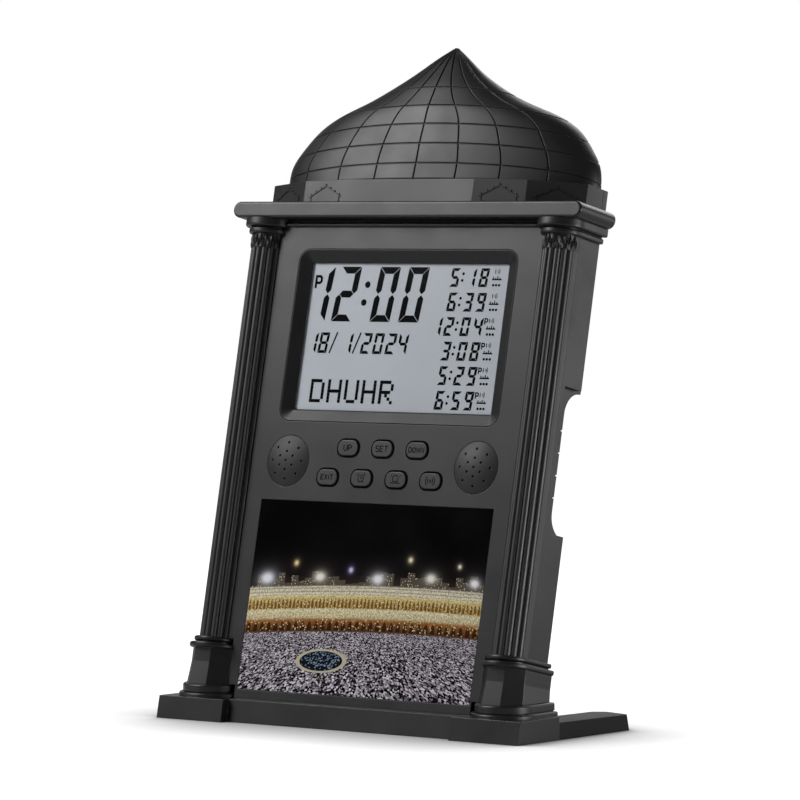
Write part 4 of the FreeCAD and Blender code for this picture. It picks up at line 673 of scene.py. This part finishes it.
def dome_levels(front, seam):
    """The rows of one moulding. The rear one ends where the seam shuts."""
    levels = dome_rows()
    if front:
        return levels
    levels = [level for level in levels if seam_share(level[0], seam) <= SEAM_NEARLY_SHUT]
    low, high = levels[-1][0], levels[-1][0] + SEAM_SEARCH
    for _ in range(SEAM_HALVINGS):
        between = (low + high) / 2
        low, high = (between, high) if seam_share(between, seam) < SEAM_SHUT else (low, between)
    return levels + [(low, 0.0)]


def dome_row(height, row_depth, front, seam):
    """The points of one row of a moulding, sunk where they lie in a groove."""
    middle = dome_at(height)[1]
    back_share = max(0.0, seam_share(height, seam))
    if front:
        last = math.asin(min(1.0, back_share))
        behind = [math.cos(last * i / PARTS_BEHIND) for i in range(PARTS_BEHIND + 1)]
        columns = [(-share, True, 0.0) for share in reversed(behind)]
        columns += [(share, False, groove) for share, groove in dome_columns(height)]
        columns += [(share, True, 0.0) for share in behind]
    else:
        end = math.cos(math.asin(back_share))
        kept = [(min(end, max(-end, share)), True, groove if abs(share) < end else 0.0)
                for share, groove in dome_columns(height)]
        columns = [(end, True, 0.0)] + kept[::-1] + [(-end, True, 0.0)]
    row = []
    for share, rear, groove in columns:
        here = dome_point(height, share, rear)
        deeper = max(groove, row_depth) * GROOVE_DEPTH
        if deeper:
            side = dome_point(height, share + (SIDE_STEP if share < 0.9 else -SIDE_STEP), rear)
            above = dome_point(height + UP_STEP, share, rear)
            normal = (side - here).cross(above - here).normalized()
            if normal.dot(here - Vector((0, middle, height - CORE_DROP))) < 0:
                normal = -normal
            here = here - normal * deeper
        row.append(here)
    return row


def dome_shell(name, front):
    """One moulding of the dome with its engraved lines, cut off at the seam."""
    seam = SEAM_Y - SEAM_GAP / 2 if front else SEAM_Y + SEAM_GAP / 2
    rows = [dome_row(height, depth, front, seam) for height, depth in dome_levels(front, seam)]
    across = len(rows[0])
    corners = [i * across + j for i in range(len(rows) - 1) for j in range(across - 1)]
    shapes = Shapes()
    shapes.add([tuple(p) for row in rows for p in row],
               [(a, a + 1, a + across + 1, a + across) for a in corners])
    shell = shapes.make(name, satin)
    join_points(shell.data, 38)
    wall = shell.modifiers.new("wall", "SOLIDIFY")
    wall.thickness = DOME_WALL * MM
    wall.offset = -1
    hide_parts(name.replace("_shell", ""))


dome_shell("dome_front_shell", True)
dome_shell("dome_back_shell", False)

# -------- display

INK_FRONT, INK_BACK = 3.345, 3.42
SEGMENTS = {
    "0": "abcdef", "1": "bc", "2": "abged", "3": "abgcd", "4": "fgbc", "5": "afgcd",
    "6": "afgedc", "7": "abc", "8": "abcdefg", "9": "abcdfg",
}
SLANT = 0.11
# Width, height, bar width and gap of the three sizes of digit
TIME_DIGIT, DATE_DIGIT, ROW_DIGIT = (11.2, 24.9, 3.1, 0.2), (5.1, 9.4, 1.34, 0.1), (4.6, 8.4, 1.32, 0.1)
ink = flat_ink("display_ink", (12, 13, 16))


def segment_outlines(width, height, thick, gap):
    """The seven bars of an upright digit, as outlines in x and z."""
    half, m = thick / 2, height / 2
    left, right, low, high = half, width - half, half, height - half
    a, b = left + gap, right - gap

    def level_bar(z, below, above):
        """A level bar with one end cut for its lower and one for its upper edge."""
        return [(a + below, z - half), (b - below, z - half), (b - above, z + half), (a + above, z + half)]

    def upright_bar(x, z0, z1, inner, lower):
        """An upright bar; inner is 1 on the left of the digit and -1 on its right."""
        c, d, cut = z0 + gap, z1 - gap, inner * half
        if lower:
            return [(x - half, c - cut), (x + half, c + cut), (x + half, d - half), (x, d), (x - half, d - half)]
        return [(x, c), (x + half, c + half), (x + half, d - cut), (x - half, d + cut), (x - half, c + half)]

    return {
        "a": level_bar(high, half, -half), "d": level_bar(low, -half, half),
        "g": [(a, m), (a + half, m - half), (b - half, m - half), (b, m), (b - half, m + half), (a + half, m + half)],
        "f": upright_bar(left, m, high, 1, False), "b": upright_bar(right, m, high, -1, False),
        "e": upright_bar(left, low, m, 1, True), "c": upright_bar(right, low, m, -1, True),
    }


def digit(shapes, symbol, x, z, width, height, thick, gap):
    """One slanted seven-bar digit, from its lower left corner."""
    bars = segment_outlines(width, height, thick, gap)
    for name in SEGMENTS[symbol]:
        shapes.slab([(x + px + SLANT * pz, z + pz) for px, pz in bars[name]])


def dots(shapes, places, radius):
    """Round dots about places in x and z."""
    for x, z in places:
        shapes.slab(round_outline(x, z, radius))


def letter_p(shapes, x, z, size, width):
    """A capital P drawn with one stroke width."""
    top, mid, right = z + size, z + size * 0.45, x + size * 0.55
    shapes.ribbon([(x, z), (x, top), (right - size * 0.15, top), (right, top - size * 0.13),
                   (right, mid + size * 0.13), (right - size * 0.15, mid), (x, mid)], width)


TIME_LOW = 181.8
shown_time = Shapes(INK_FRONT, INK_BACK)
for symbol, x in (("1", -56.0), ("2", -41.2), ("0", -19.4), ("0", -3.3)):
    digit(shown_time, symbol, x, TIME_LOW, *TIME_DIGIT)
dots(shown_time, ((-22.9, 198.6), (-23.85, 190.5)), 1.5)
shown_time.make("display_time", ink)

DATE_LOW = 167.3
date = Shapes(INK_FRONT, INK_BACK)
for symbol, x in (("1", -52.9), ("8", -46.6), ("1", -33.1), ("2", -22.5), ("0", -15.7), ("2", -8.7), ("4", -2.1)):
    digit(date, symbol, x, DATE_LOW, *DATE_DIGIT)
for x in (-39.8, -26.6):
    date.ribbon([(x, DATE_LOW), (x + 3.5, 176.9)], 0.75)
date.make("display_date", ink)

LETTERS = {
    "D": "11110 10001 10001 10001 10001 10001 11110",
    "H": "10001 10001 10001 11111 10001 10001 10001",
    "U": "10001 10001 10001 10001 10001 10001 01110",
    "R": "11110 10001 10001 11110 10100 10010 10001",
}
DOT_X, DOT_Z, DOT_GAP = 1.56, 1.51, 0.02
WORD_LEFT, WORD_LOW, LETTER_PITCH = -47.7, 144.9, 9.72
word = Shapes(INK_FRONT, INK_BACK)
for place, letter in enumerate("DHUHR"):
    for row, line in enumerate(LETTERS[letter].split()):
        for column, dot in enumerate(line):
            if dot == "1":
                left = WORD_LEFT + place * LETTER_PITCH + column * DOT_X
                low = WORD_LOW + (6 - row) * DOT_Z
                a, b, c, d = left + DOT_GAP, left + DOT_X - DOT_GAP, low + DOT_GAP, low + DOT_Z - DOT_GAP
                word.slab([(a, c), (b, c), (b, d), (a, d)])
word.make("display_word", ink)

ROW_TIMES = ("5:18", "6:39", "12:04", "3:08", "5:29", "6:59")
ROW_LOW, ROW_PITCH = 198.0, 10.98
HOUR_TENS_X, HOUR_X, MINUTE_TENS_X, MINUTE_X = 16.0, 22.4, 31.3, 38.2
small = Shapes(INK_FRONT, INK_BACK)
marks = Shapes(INK_FRONT, INK_BACK)
for row, time in enumerate(ROW_TIMES):
    z = ROW_LOW - row * ROW_PITCH
    hour, minute = time.split(":")
    digit(small, hour[-1], HOUR_X, z, *ROW_DIGIT)
    if len(hour) == 2:
        digit(small, hour[0], HOUR_TENS_X, z, *ROW_DIGIT)
    digit(small, minute[0], MINUTE_TENS_X, z, *ROW_DIGIT)
    digit(small, minute[1], MINUTE_X, z, *ROW_DIGIT)
    dots(small, ((29.55, z + 5.9), (29.2, z + 2.9)), 0.66)
    if row > 1:
        letter_p(marks, 44.4, z + 5.3, 2.6, 0.58)
    for reach in (0.5, 1.1, 1.7):
        marks.ribbon(arc_path(47.6, z + 7.0, reach, -50, 50, 4), 0.22)
    marks.ribbon([(46.9, z + 6.1), (46.9, z + 7.9)], 0.4)
    marks.ribbon([(45.4, z + 3.4), (50.6, z + 3.4)], 0.6)
    for x, rise in ((46.1, 1.2), (47.3, 0.8), (48.4, 1.5), (49.6, 0.9)):
        marks.ribbon([(x, z + 3.4), (x, z + 3.4 + rise)], 0.5)
    for x in (46.4, 48.0, 49.6):
        marks.slab(round_outline(x, z + 0.9, 0.6, 1.1, 12))
letter_p(marks, -52.3, 196.8, 5.4, 1.2)
small.make("display_times", ink)
marks.make("display_marks", ink)

# -------- marks on the keys, and painted shade in the gaps round them

KEY_FACE = -0.7
MARK_FRONT, MARK_BACK = KEY_FACE - 0.03, KEY_FACE + 0.15
WORD_STROKE, ICON_STROKE = 0.42, 0.36
SHORT_WORD_HIGH, LONG_WORD_HIGH = 2.5, 2.2
KEYS = {
    "button_up": (-19.1, 124.26), "button_set": (0.0, 124.26), "button_down": (19.1, 124.26),
    "button_exit": (-28.65, 110.83), "button_alarm": (-9.55, 110.83),
    "button_light": (9.55, 110.83), "button_sound": (28.65, 110.83),
}
STROKES = {
    "U": [[(0, 1), (0, 0.25), (0.18, 0), (0.52, 0), (0.7, 0.25), (0.7, 1)]],
    "P": [[(0, 0), (0, 1), (0.5, 1), (0.7, 0.85), (0.7, 0.6), (0.5, 0.45), (0, 0.45)]],
    "S": [[(0.7, 0.85), (0.5, 1), (0.2, 1), (0, 0.85), (0, 0.65), (0.15, 0.52), (0.55, 0.48), (0.7, 0.35),
           (0.7, 0.15), (0.5, 0), (0.2, 0), (0, 0.15)]],
    "E": [[(0.65, 1), (0, 1), (0, 0), (0.65, 0)], [(0, 0.5), (0.55, 0.5)]],
    "T": [[(0, 1), (0.7, 1)], [(0.35, 1), (0.35, 0)]],
    "D": [[(0, 0), (0, 1), (0.42, 1), (0.7, 0.75), (0.7, 0.25), (0.42, 0), (0, 0)]],
    "O": [[(0.35, 1), (0.62, 0.85), (0.72, 0.5), (0.62, 0.15), (0.35, 0), (0.08, 0.15), (-0.02, 0.5), (0.08, 0.85),
           (0.35, 1)]],
    "W": [[(0, 1), (0.2, 0), (0.42, 0.8), (0.64, 0), (0.84, 1)]],
    "N": [[(0, 0), (0, 1), (0.65, 0), (0.65, 1)]],
    "X": [[(0, 1), (0.65, 0)], [(0, 0), (0.65, 1)]],
    "I": [[(0.1, 1), (0.1, 0)]],
}
ADVANCE = {"I": 0.42, "W": 1.12}
PLAIN_ADVANCE, LETTER_SPACE = 0.95, 0.25
# Dark ink for the marks on the keys and for the painted shade round them.
mark_and_gap_shade_ink = flat_ink("key_marks_and_gap_shade", (9, 9, 10))


def word_paths(text, height):
    """The strokes of a word of single-stroke capitals, about its middle."""
    total = sum(ADVANCE.get(letter, PLAIN_ADVANCE) for letter in text) - LETTER_SPACE
    start = -total * height / 2
    paths = []
    for letter in text:
        paths += [[(start + px * height, (pz - 0.5) * height) for px, pz in path] for path in STROKES[letter]]
        start += ADVANCE.get(letter, PLAIN_ADVANCE) * height
    return paths


def mark_key(key, paths, stroke):
    """A line drawing on a key, from paths about the key's middle."""
    shapes = Shapes(MARK_FRONT, MARK_BACK)
    x, z = KEYS[key]
    for path in paths:
        shapes.ribbon([(x + px, z + pz) for px, pz in path], stroke)
    shapes.make(key + "_mark", mark_and_gap_shade_ink, body=key + "_key")


for key, text in (("button_up", "UP"), ("button_set", "SET"), ("button_down", "DOWN"), ("button_exit", "EXIT")):
    mark_key(key, word_paths(text, SHORT_WORD_HIGH if len(text) < 4 else LONG_WORD_HIGH), WORD_STROKE)
mark_key("button_alarm", [
    arc_path(0, 0, 1.5, 0, 360, 20), [(0, 0.9), (0, 0), (0.7, 0)],
    arc_path(-1.5, 1.5, 0.6, 60, 210, 6), arc_path(1.5, 1.5, 0.6, 120, -30, 6),
    [(-1.0, -1.4), (-1.4, -2.0)], [(1.0, -1.4), (1.4, -2.0)],
], ICON_STROKE)
mark_key("button_light", [
    arc_path(0, 0.5, 1.5, -35, 215, 16), [(-2.6, -1.5), (2.6, -1.5)], [(-2.1, 1.5), (-2.7, 1.9)],
    [(2.1, 1.5), (2.7, 1.9)], [(-1.23, -0.36), (-1.23, -0.9), (1.23, -0.9), (1.23, -0.36)],
], ICON_STROKE)
mark_key("button_sound", [
    arc_path(0, 0, 0.5, 0, 360, 10), arc_path(0, 0, 1.5, -50, 50, 8), arc_path(0, 0, 2.5, -50, 50, 8),
    arc_path(0, 0, 1.5, 130, 230, 8), arc_path(0, 0, 2.5, 130, 230, 8),
], ICON_STROKE)

KEY_HALF_WIDTH, KEY_HALF_HEIGHT, KEY_CORNER = 6.2, 4.1, 3.8
# Rings of dark ink on the panel round each key: painted shade in the gap between key and panel.
GAP_SHADE_FRONT, GAP_SHADE_BACK, GAP_SHADE_WIDTH = -0.03, 0.1, 0.55
gap_shade_rings = Shapes(GAP_SHADE_FRONT, GAP_SHADE_BACK)
for x, z in KEYS.values():
    outline = []
    for across, up, start in ((1, 1, 0), (-1, 1, 90), (-1, -1, 180), (1, -1, 270)):
        middle = (x + across * (KEY_HALF_WIDTH - KEY_CORNER), z + up * (KEY_HALF_HEIGHT - KEY_CORNER))
        outline += arc_path(*middle, KEY_CORNER, start, start + 90, 8)
    gap_shade_rings.ribbon(outline, GAP_SHADE_WIDTH, closed=True)
gap_shade_rings.make("key_gap_shade_rings", mark_and_gap_shade_ink)

# -------- drum ornaments

DRUM_LOW, DRUM_HIGH = 234.3, 244.8
DRUM_CORNERS = [(34.97, -5.0), (61.61, -1.75), (87.34, 7.95)]
ORNAMENT_RISE, ORNAMENT_SUNK = 0.28, -0.1
GABLE_STRIPS = [        # start and end as shares of the facet's length and height, and width
    ((0.17, 0.02), (0.17, 0.30), 0.5), ((0.83, 0.02), (0.83, 0.30), 0.5),
    ((0.13, 0.27), (0.5, 0.74), 0.55), ((0.5, 0.74), (0.87, 0.27), 0.55),
]
STUDS = [(0.17, 0.38), (0.28, 0.52), (0.39, 0.66), (0.5, 0.80), (0.61, 0.66), (0.72, 0.52), (0.83, 0.38)]
STUD_RADIUS, STUD_SIDES, STUD_CROWN, STUD_SHOULDER, STUD_TOP = 0.5, 10, 0.6, 0.42, 0.5


def gable(shapes, start, end):
    """The raised outline of a gable with studs along it, on the facet between two corners."""
    high = DRUM_HIGH - DRUM_LOW
    run = Vector((end[0] - start[0], end[1] - start[1]))
    along, length = run.normalized(), run.length
    out = Vector((along.y, -along.x))
    if out.y > 0:
        out = -out

    def place(share, height, rise):
        spot = Vector(start) + along * (share * length) + out * rise
        return (spot.x, spot.y, DRUM_LOW + height * high)

    for (s0, h0), (s1, h1), width in GABLE_STRIPS:
        ds, dh = (s1 - s0) * length, (h1 - h0) * high
        size = math.hypot(ds, dh)
        us, uh = -dh / size * width / 2 / length, ds / size * width / 2 / high
        corners = [(s0 - us, h0 - uh), (s1 - us, h1 - uh), (s1 + us, h1 + uh), (s0 + us, h0 + uh)]
        points = [place(s, h, rise) for rise in (ORNAMENT_RISE, ORNAMENT_SUNK) for s, h in corners]
        sides = [(i, 4 + i, 4 + (i + 1) % 4, (i + 1) % 4) for i in range(4)]
        shapes.add(points, [(0, 1, 2, 3), (7, 6, 5, 4)] + sides)
    n = STUD_SIDES
    for s, h in STUDS:
        turns = [2 * math.pi * i / n for i in range(n)]
        ring = [(s + STUD_RADIUS * math.cos(t) / length, h + STUD_RADIUS * math.sin(t) / high) for t in turns]
        base = [place(a, b, ORNAMENT_SUNK) for a, b in ring]
        crown = [place(s + (a - s) * STUD_CROWN, h + (b - h) * STUD_CROWN, STUD_SHOULDER) for a, b in ring]
        faces = [(i, (i + 1) % n, n + (i + 1) % n, n + i) for i in range(n)]
        faces += [(n + i, n + (i + 1) % n, 2 * n) for i in range(n)]
        shapes.add(base + crown + [place(s, h, STUD_TOP)], faces + [tuple(range(n - 1, -1, -1))])


ornaments = Shapes()
for start, end in zip(DRUM_CORNERS, DRUM_CORNERS[1:]):
    gable(ornaments, start, end)
    gable(ornaments, (-end[0], end[1]), (-start[0], start[1]))
ornaments.make("drum_ornaments", carved_plastic, smooth_under=30)

# -------- carved necks of the capitals

NECK_LOW, NECK_HIGH, NECK_RADIUS = 213.95, 220.35, 7.94
COLUMN_X, COLUMN_Y = 81.3, 2.24
LEAF_ROWS = 7
LEAF_ACROSS = ((-1.0, 1.0), (-0.5, 0.45), (0.0, 1.15), (0.5, 0.45), (1.0, 1.0))     # side, share of the rise
LEAF_SUNK = -0.15
LEAF_HALF = 1.05
LEAF_PITCH = 17.5
LOWER_LEAF_HIGH, LOWER_LEAF_RISE = 4.3, 0.5
UPPER_LEAF_LOW, UPPER_LEAF_RISE = 2.0, 0.62


def leaf(shapes, middle_x, angle, low, high, rise):
    """A pointed leaf that curls out from the neck, with a rib."""
    points, back = [], []
    for i in range(LEAF_ROWS):
        t = i / (LEAF_ROWS - 1)
        half = LEAF_HALF * math.sin(math.pi * min(1.0, 0.18 + 0.82 * t)) ** 0.8
        lift = rise * math.sin(math.pi * (0.15 + 0.75 * t))
        height = low + (high - low) * t
        for side, share in LEAF_ACROSS:
            turn = math.radians(angle) + side * half / NECK_RADIUS
            reach = NECK_RADIUS + (lift * share if abs(side) < 1 else LEAF_SUNK)
            points.append((middle_x + reach * math.sin(turn), COLUMN_Y - reach * math.cos(turn), height))
        left, right = points[-5], points[-1]
        back.append(((left[0] + right[0]) / 2, (left[1] + right[1]) / 2, left[2]))
    count, top = len(points), (LEAF_ROWS - 1) * 5
    faces = []
    for i in range(LEAF_ROWS - 1):
        faces += [(a, a + 1, a + 6, a + 5) for a in range(i * 5, i * 5 + 4)]
    for i in range(LEAF_ROWS - 1):
        faces.append((i * 5, (i + 1) * 5, count + i + 1, count + i))
        faces.append((i * 5 + 4, count + i, count + i + 1, (i + 1) * 5 + 4))
    faces.append((0, count, 4, 3, 2, 1))
    faces.append((top, top + 1, top + 2, top + 3, top + 4, count + LEAF_ROWS - 1))
    shapes.add(points + back, faces)


for side, name in ((-1, "left"), (1, "right")):
    carving = Shapes()
    for i in range(11):
        leaf(carving, side * COLUMN_X, (i - 5) * LEAF_PITCH, NECK_LOW, NECK_LOW + LOWER_LEAF_HIGH, LOWER_LEAF_RISE)
    for i in range(10):
        leaf(carving, side * COLUMN_X, (i - 4.5) * LEAF_PITCH, NECK_LOW + UPPER_LEAF_LOW, NECK_HIGH, UPPER_LEAF_RISE)
    carving.make("capital_leaves_" + name, carved_plastic, smooth_under=60)

# -------- cover screws

SCREW_PLACES = [(x, z) for x in (-78.2, 78.2) for z in (60.0, 80.0)]
SCREW_FLOOR, SCREW_RADIUS, SCREW_SIDES = 21.25, 2.9, 32
SCREW_RINGS = ((1.0, 0.0), (1.0, 0.35), (0.86, 0.72), (0.62, 0.84))      # share of the radius, rise
CROSS_RINGS = ((0.86, 1.0), (0.3, 0.8))                                  # rise, share of the cross
CROSS_REACH, CROSS_HALF = 1.35, 0.30


def screw_head(shapes, x, z):
    """A pan head with a cross recess, facing backwards."""
    n = SCREW_SIDES
    turns = [2 * math.pi * i / n for i in range(n)]
    points = [(x + SCREW_RADIUS * share * math.cos(t), SCREW_FLOOR + rise, z + SCREW_RADIUS * share * math.sin(t))
              for share, rise in SCREW_RINGS for t in turns]
    for rise, share in CROSS_RINGS:
        for t in turns:
            aside = min(abs(math.cos(t)), abs(math.sin(t)))
            reach = min(CROSS_HALF / max(aside, 0.01), CROSS_REACH) * share
            points.append((x + reach * math.cos(t), SCREW_FLOOR + rise, z + reach * math.sin(t)))
    rings = len(SCREW_RINGS) + len(CROSS_RINGS)
    faces = []
    for a in range(0, (rings - 1) * n, n):
        faces += [(a + (i + 1) % n, a + i, a + n + i, a + n + (i + 1) % n) for i in range(n)]
    faces.append(tuple(range(rings * n - 1, (rings - 1) * n - 1, -1)))
    faces.append(tuple(range(n)))
    shapes.add(points, faces)


screws = Shapes()
for x, z in SCREW_PLACES:
    screw_head(screws, x, z)
screws.make("cover_screws", steel, smooth_under=35)

# -------- stage, light and camera

FLOOR_HALF, FLOOR_Z = 6.0, -0.0001
FLOOR_SEEN, FLOOR_UNSEEN = (grey(150), grey(158)), grey(205)
GLOW_NEAR, GLOW_FAR = (0.2, 0.92), (0.7, 1.0)       # distance from the clock in metres, strength
SHADOW_REACH, SHADOW_POWER = 0.08, 3.7
ROOM_STRENGTH = 0.11
WHITE = (1, 1, 1, 1)


def seen_directly(tree):
    """1 for what the camera sees, also through clear sheets, and 0 for light and reflections."""
    path = node(tree, "ShaderNodeLightPath").outputs
    return math_node(tree, "MAXIMUM", path["Is Camera Ray"], path["Is Transmission Ray"])


def stage_floor():
    """A pale floor that glows to the camera, dimmed near the clock where its shadow falls."""
    corners = [(-1, -1), (1, -1), (1, 1), (-1, 1)]
    mesh = bpy.data.meshes.new("floor")
    mesh.from_pydata([(x * FLOOR_HALF, y * FLOOR_HALF, FLOOR_Z) for x, y in corners], [], [(0, 1, 2, 3)])
    floor = new_object("floor", mesh)
    made, tree, surface = new_material("floor_white")
    place = object_place(tree)
    seen = seen_directly(tree)
    paper = mix_colour(tree, noise(tree, place, 3.0, 3.0), *FLOOR_SEEN)
    dress(tree, surface, mix_colour(tree, seen, FLOOR_UNSEEN, paper), 0.9, 0.1)
    surface.inputs["Emission Color"].default_value = WHITE
    near = node(tree, "ShaderNodeAmbientOcclusion", {"Distance": SHADOW_REACH})
    contact = math_node(tree, "POWER", near.outputs["AO"], SHADOW_POWER)
    away = node(tree, "ShaderNodeVectorMath", {0: place}, operation="LENGTH").outputs["Value"]
    rising = spread(tree, away, GLOW_NEAR[0], GLOW_FAR[0], GLOW_NEAR[1], GLOW_FAR[1])
    glow = math_node(tree, "MULTIPLY", rising, contact)
    tree.links.new(math_node(tree, "MULTIPLY", seen, glow), surface.inputs["Emission Strength"])
    mesh.materials.append(made)
    floor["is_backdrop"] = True


def stage_world():
    """White to the camera, a dim grey to the surfaces."""
    world = bpy.data.worlds.new("studio")
    bpy.context.scene.world = world
    world.use_nodes = True
    tree = world.node_tree
    tree.nodes.clear()
    backdrop = node(tree, "ShaderNodeBackground", {"Color": WHITE, "Strength": 1.0}).outputs[0]
    room = node(tree, "ShaderNodeBackground", {"Color": WHITE, "Strength": ROOM_STRENGTH}).outputs[0]
    mixed = node(tree, "ShaderNodeMixShader", {0: seen_directly(tree), 1: room, 2: backdrop})
    output = tree.nodes.new("ShaderNodeOutputWorld")
    tree.links.new(mixed.outputs[0], output.inputs[0])


LIGHT_AIM = Vector((0, 0.03, 0.17))
# Name, bearing from the front towards the viewer's right, distance, height, width, tall, power
SOFT_BOXES = [
    ("key", -54.0, 0.86, 0.80, 0.58, 0.62, 9.2),
    ("low_front", -38.0, 1.0, 0.08, 0.50, 0.14, 0.30),
    ("strip", 96.0, 1.0, 0.14, 0.40, 0.26, 4.2),
    ("side_fill", 142.0, 1.1, 0.20, 0.5, 0.40, 1.0),
    ("back_fill", -142.0, 1.2, 0.40, 0.9, 0.5, 0.8),
    ("rear", -176.0, 1.0, 0.9, 0.8, 0.8, 6.0),
]


def soft_box(name, bearing, distance, height, width, tall, power):
    """A soft box that looks at the clock."""
    data = bpy.data.lights.new(name, "AREA")
    data.shape = "RECTANGLE"
    data.size = width
    data.size_y = tall
    data.energy = power
    lamp = new_object(name, data)
    turn = math.radians(bearing)
    lamp.location = (distance * math.sin(turn), -distance * math.cos(turn), height)
    lamp.rotation_mode = "QUATERNION"
    lamp.rotation_quaternion = (LIGHT_AIM - lamp.location).to_track_quat("-Z", "Y")


VIEW_AZIMUTH, VIEW_ELEVATION = math.radians(37.47), math.radians(2.04)
VIEW_AIM, VIEW_DISTANCE = Vector((0, 0, 0.130)), 2.1651
VIEW_RIGHT, VIEW_UP = 0.02331, 0.01392
SENSOR, LENS = 36.0, 223.56


def studio_camera():
    """The three-quarter view from slightly above the foot."""
    level = math.cos(VIEW_ELEVATION)
    back = Vector((math.sin(VIEW_AZIMUTH) * level, -math.cos(VIEW_AZIMUTH) * level, math.sin(VIEW_ELEVATION)))
    right = Vector((math.cos(VIEW_AZIMUTH), math.sin(VIEW_AZIMUTH), 0.0))
    up = back.cross(right)
    data = bpy.data.cameras.new("camera")
    data.sensor_width = SENSOR
    data.lens = LENS
    data.clip_start, data.clip_end = 0.1, 30.0
    camera = new_object("camera", data)
    place = VIEW_AIM + back * VIEW_DISTANCE + right * VIEW_RIGHT + up * VIEW_UP
    camera.matrix_world = Matrix.Translation(place) @ Matrix((right, up, back)).transposed().to_4x4()
    bpy.context.scene.camera = camera


stage_floor()
stage_world()
for box in SOFT_BOXES:
    soft_box(*box)
studio_camera()
bpy.context.scene.view_settings.view_transform = "Standard"

low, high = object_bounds()
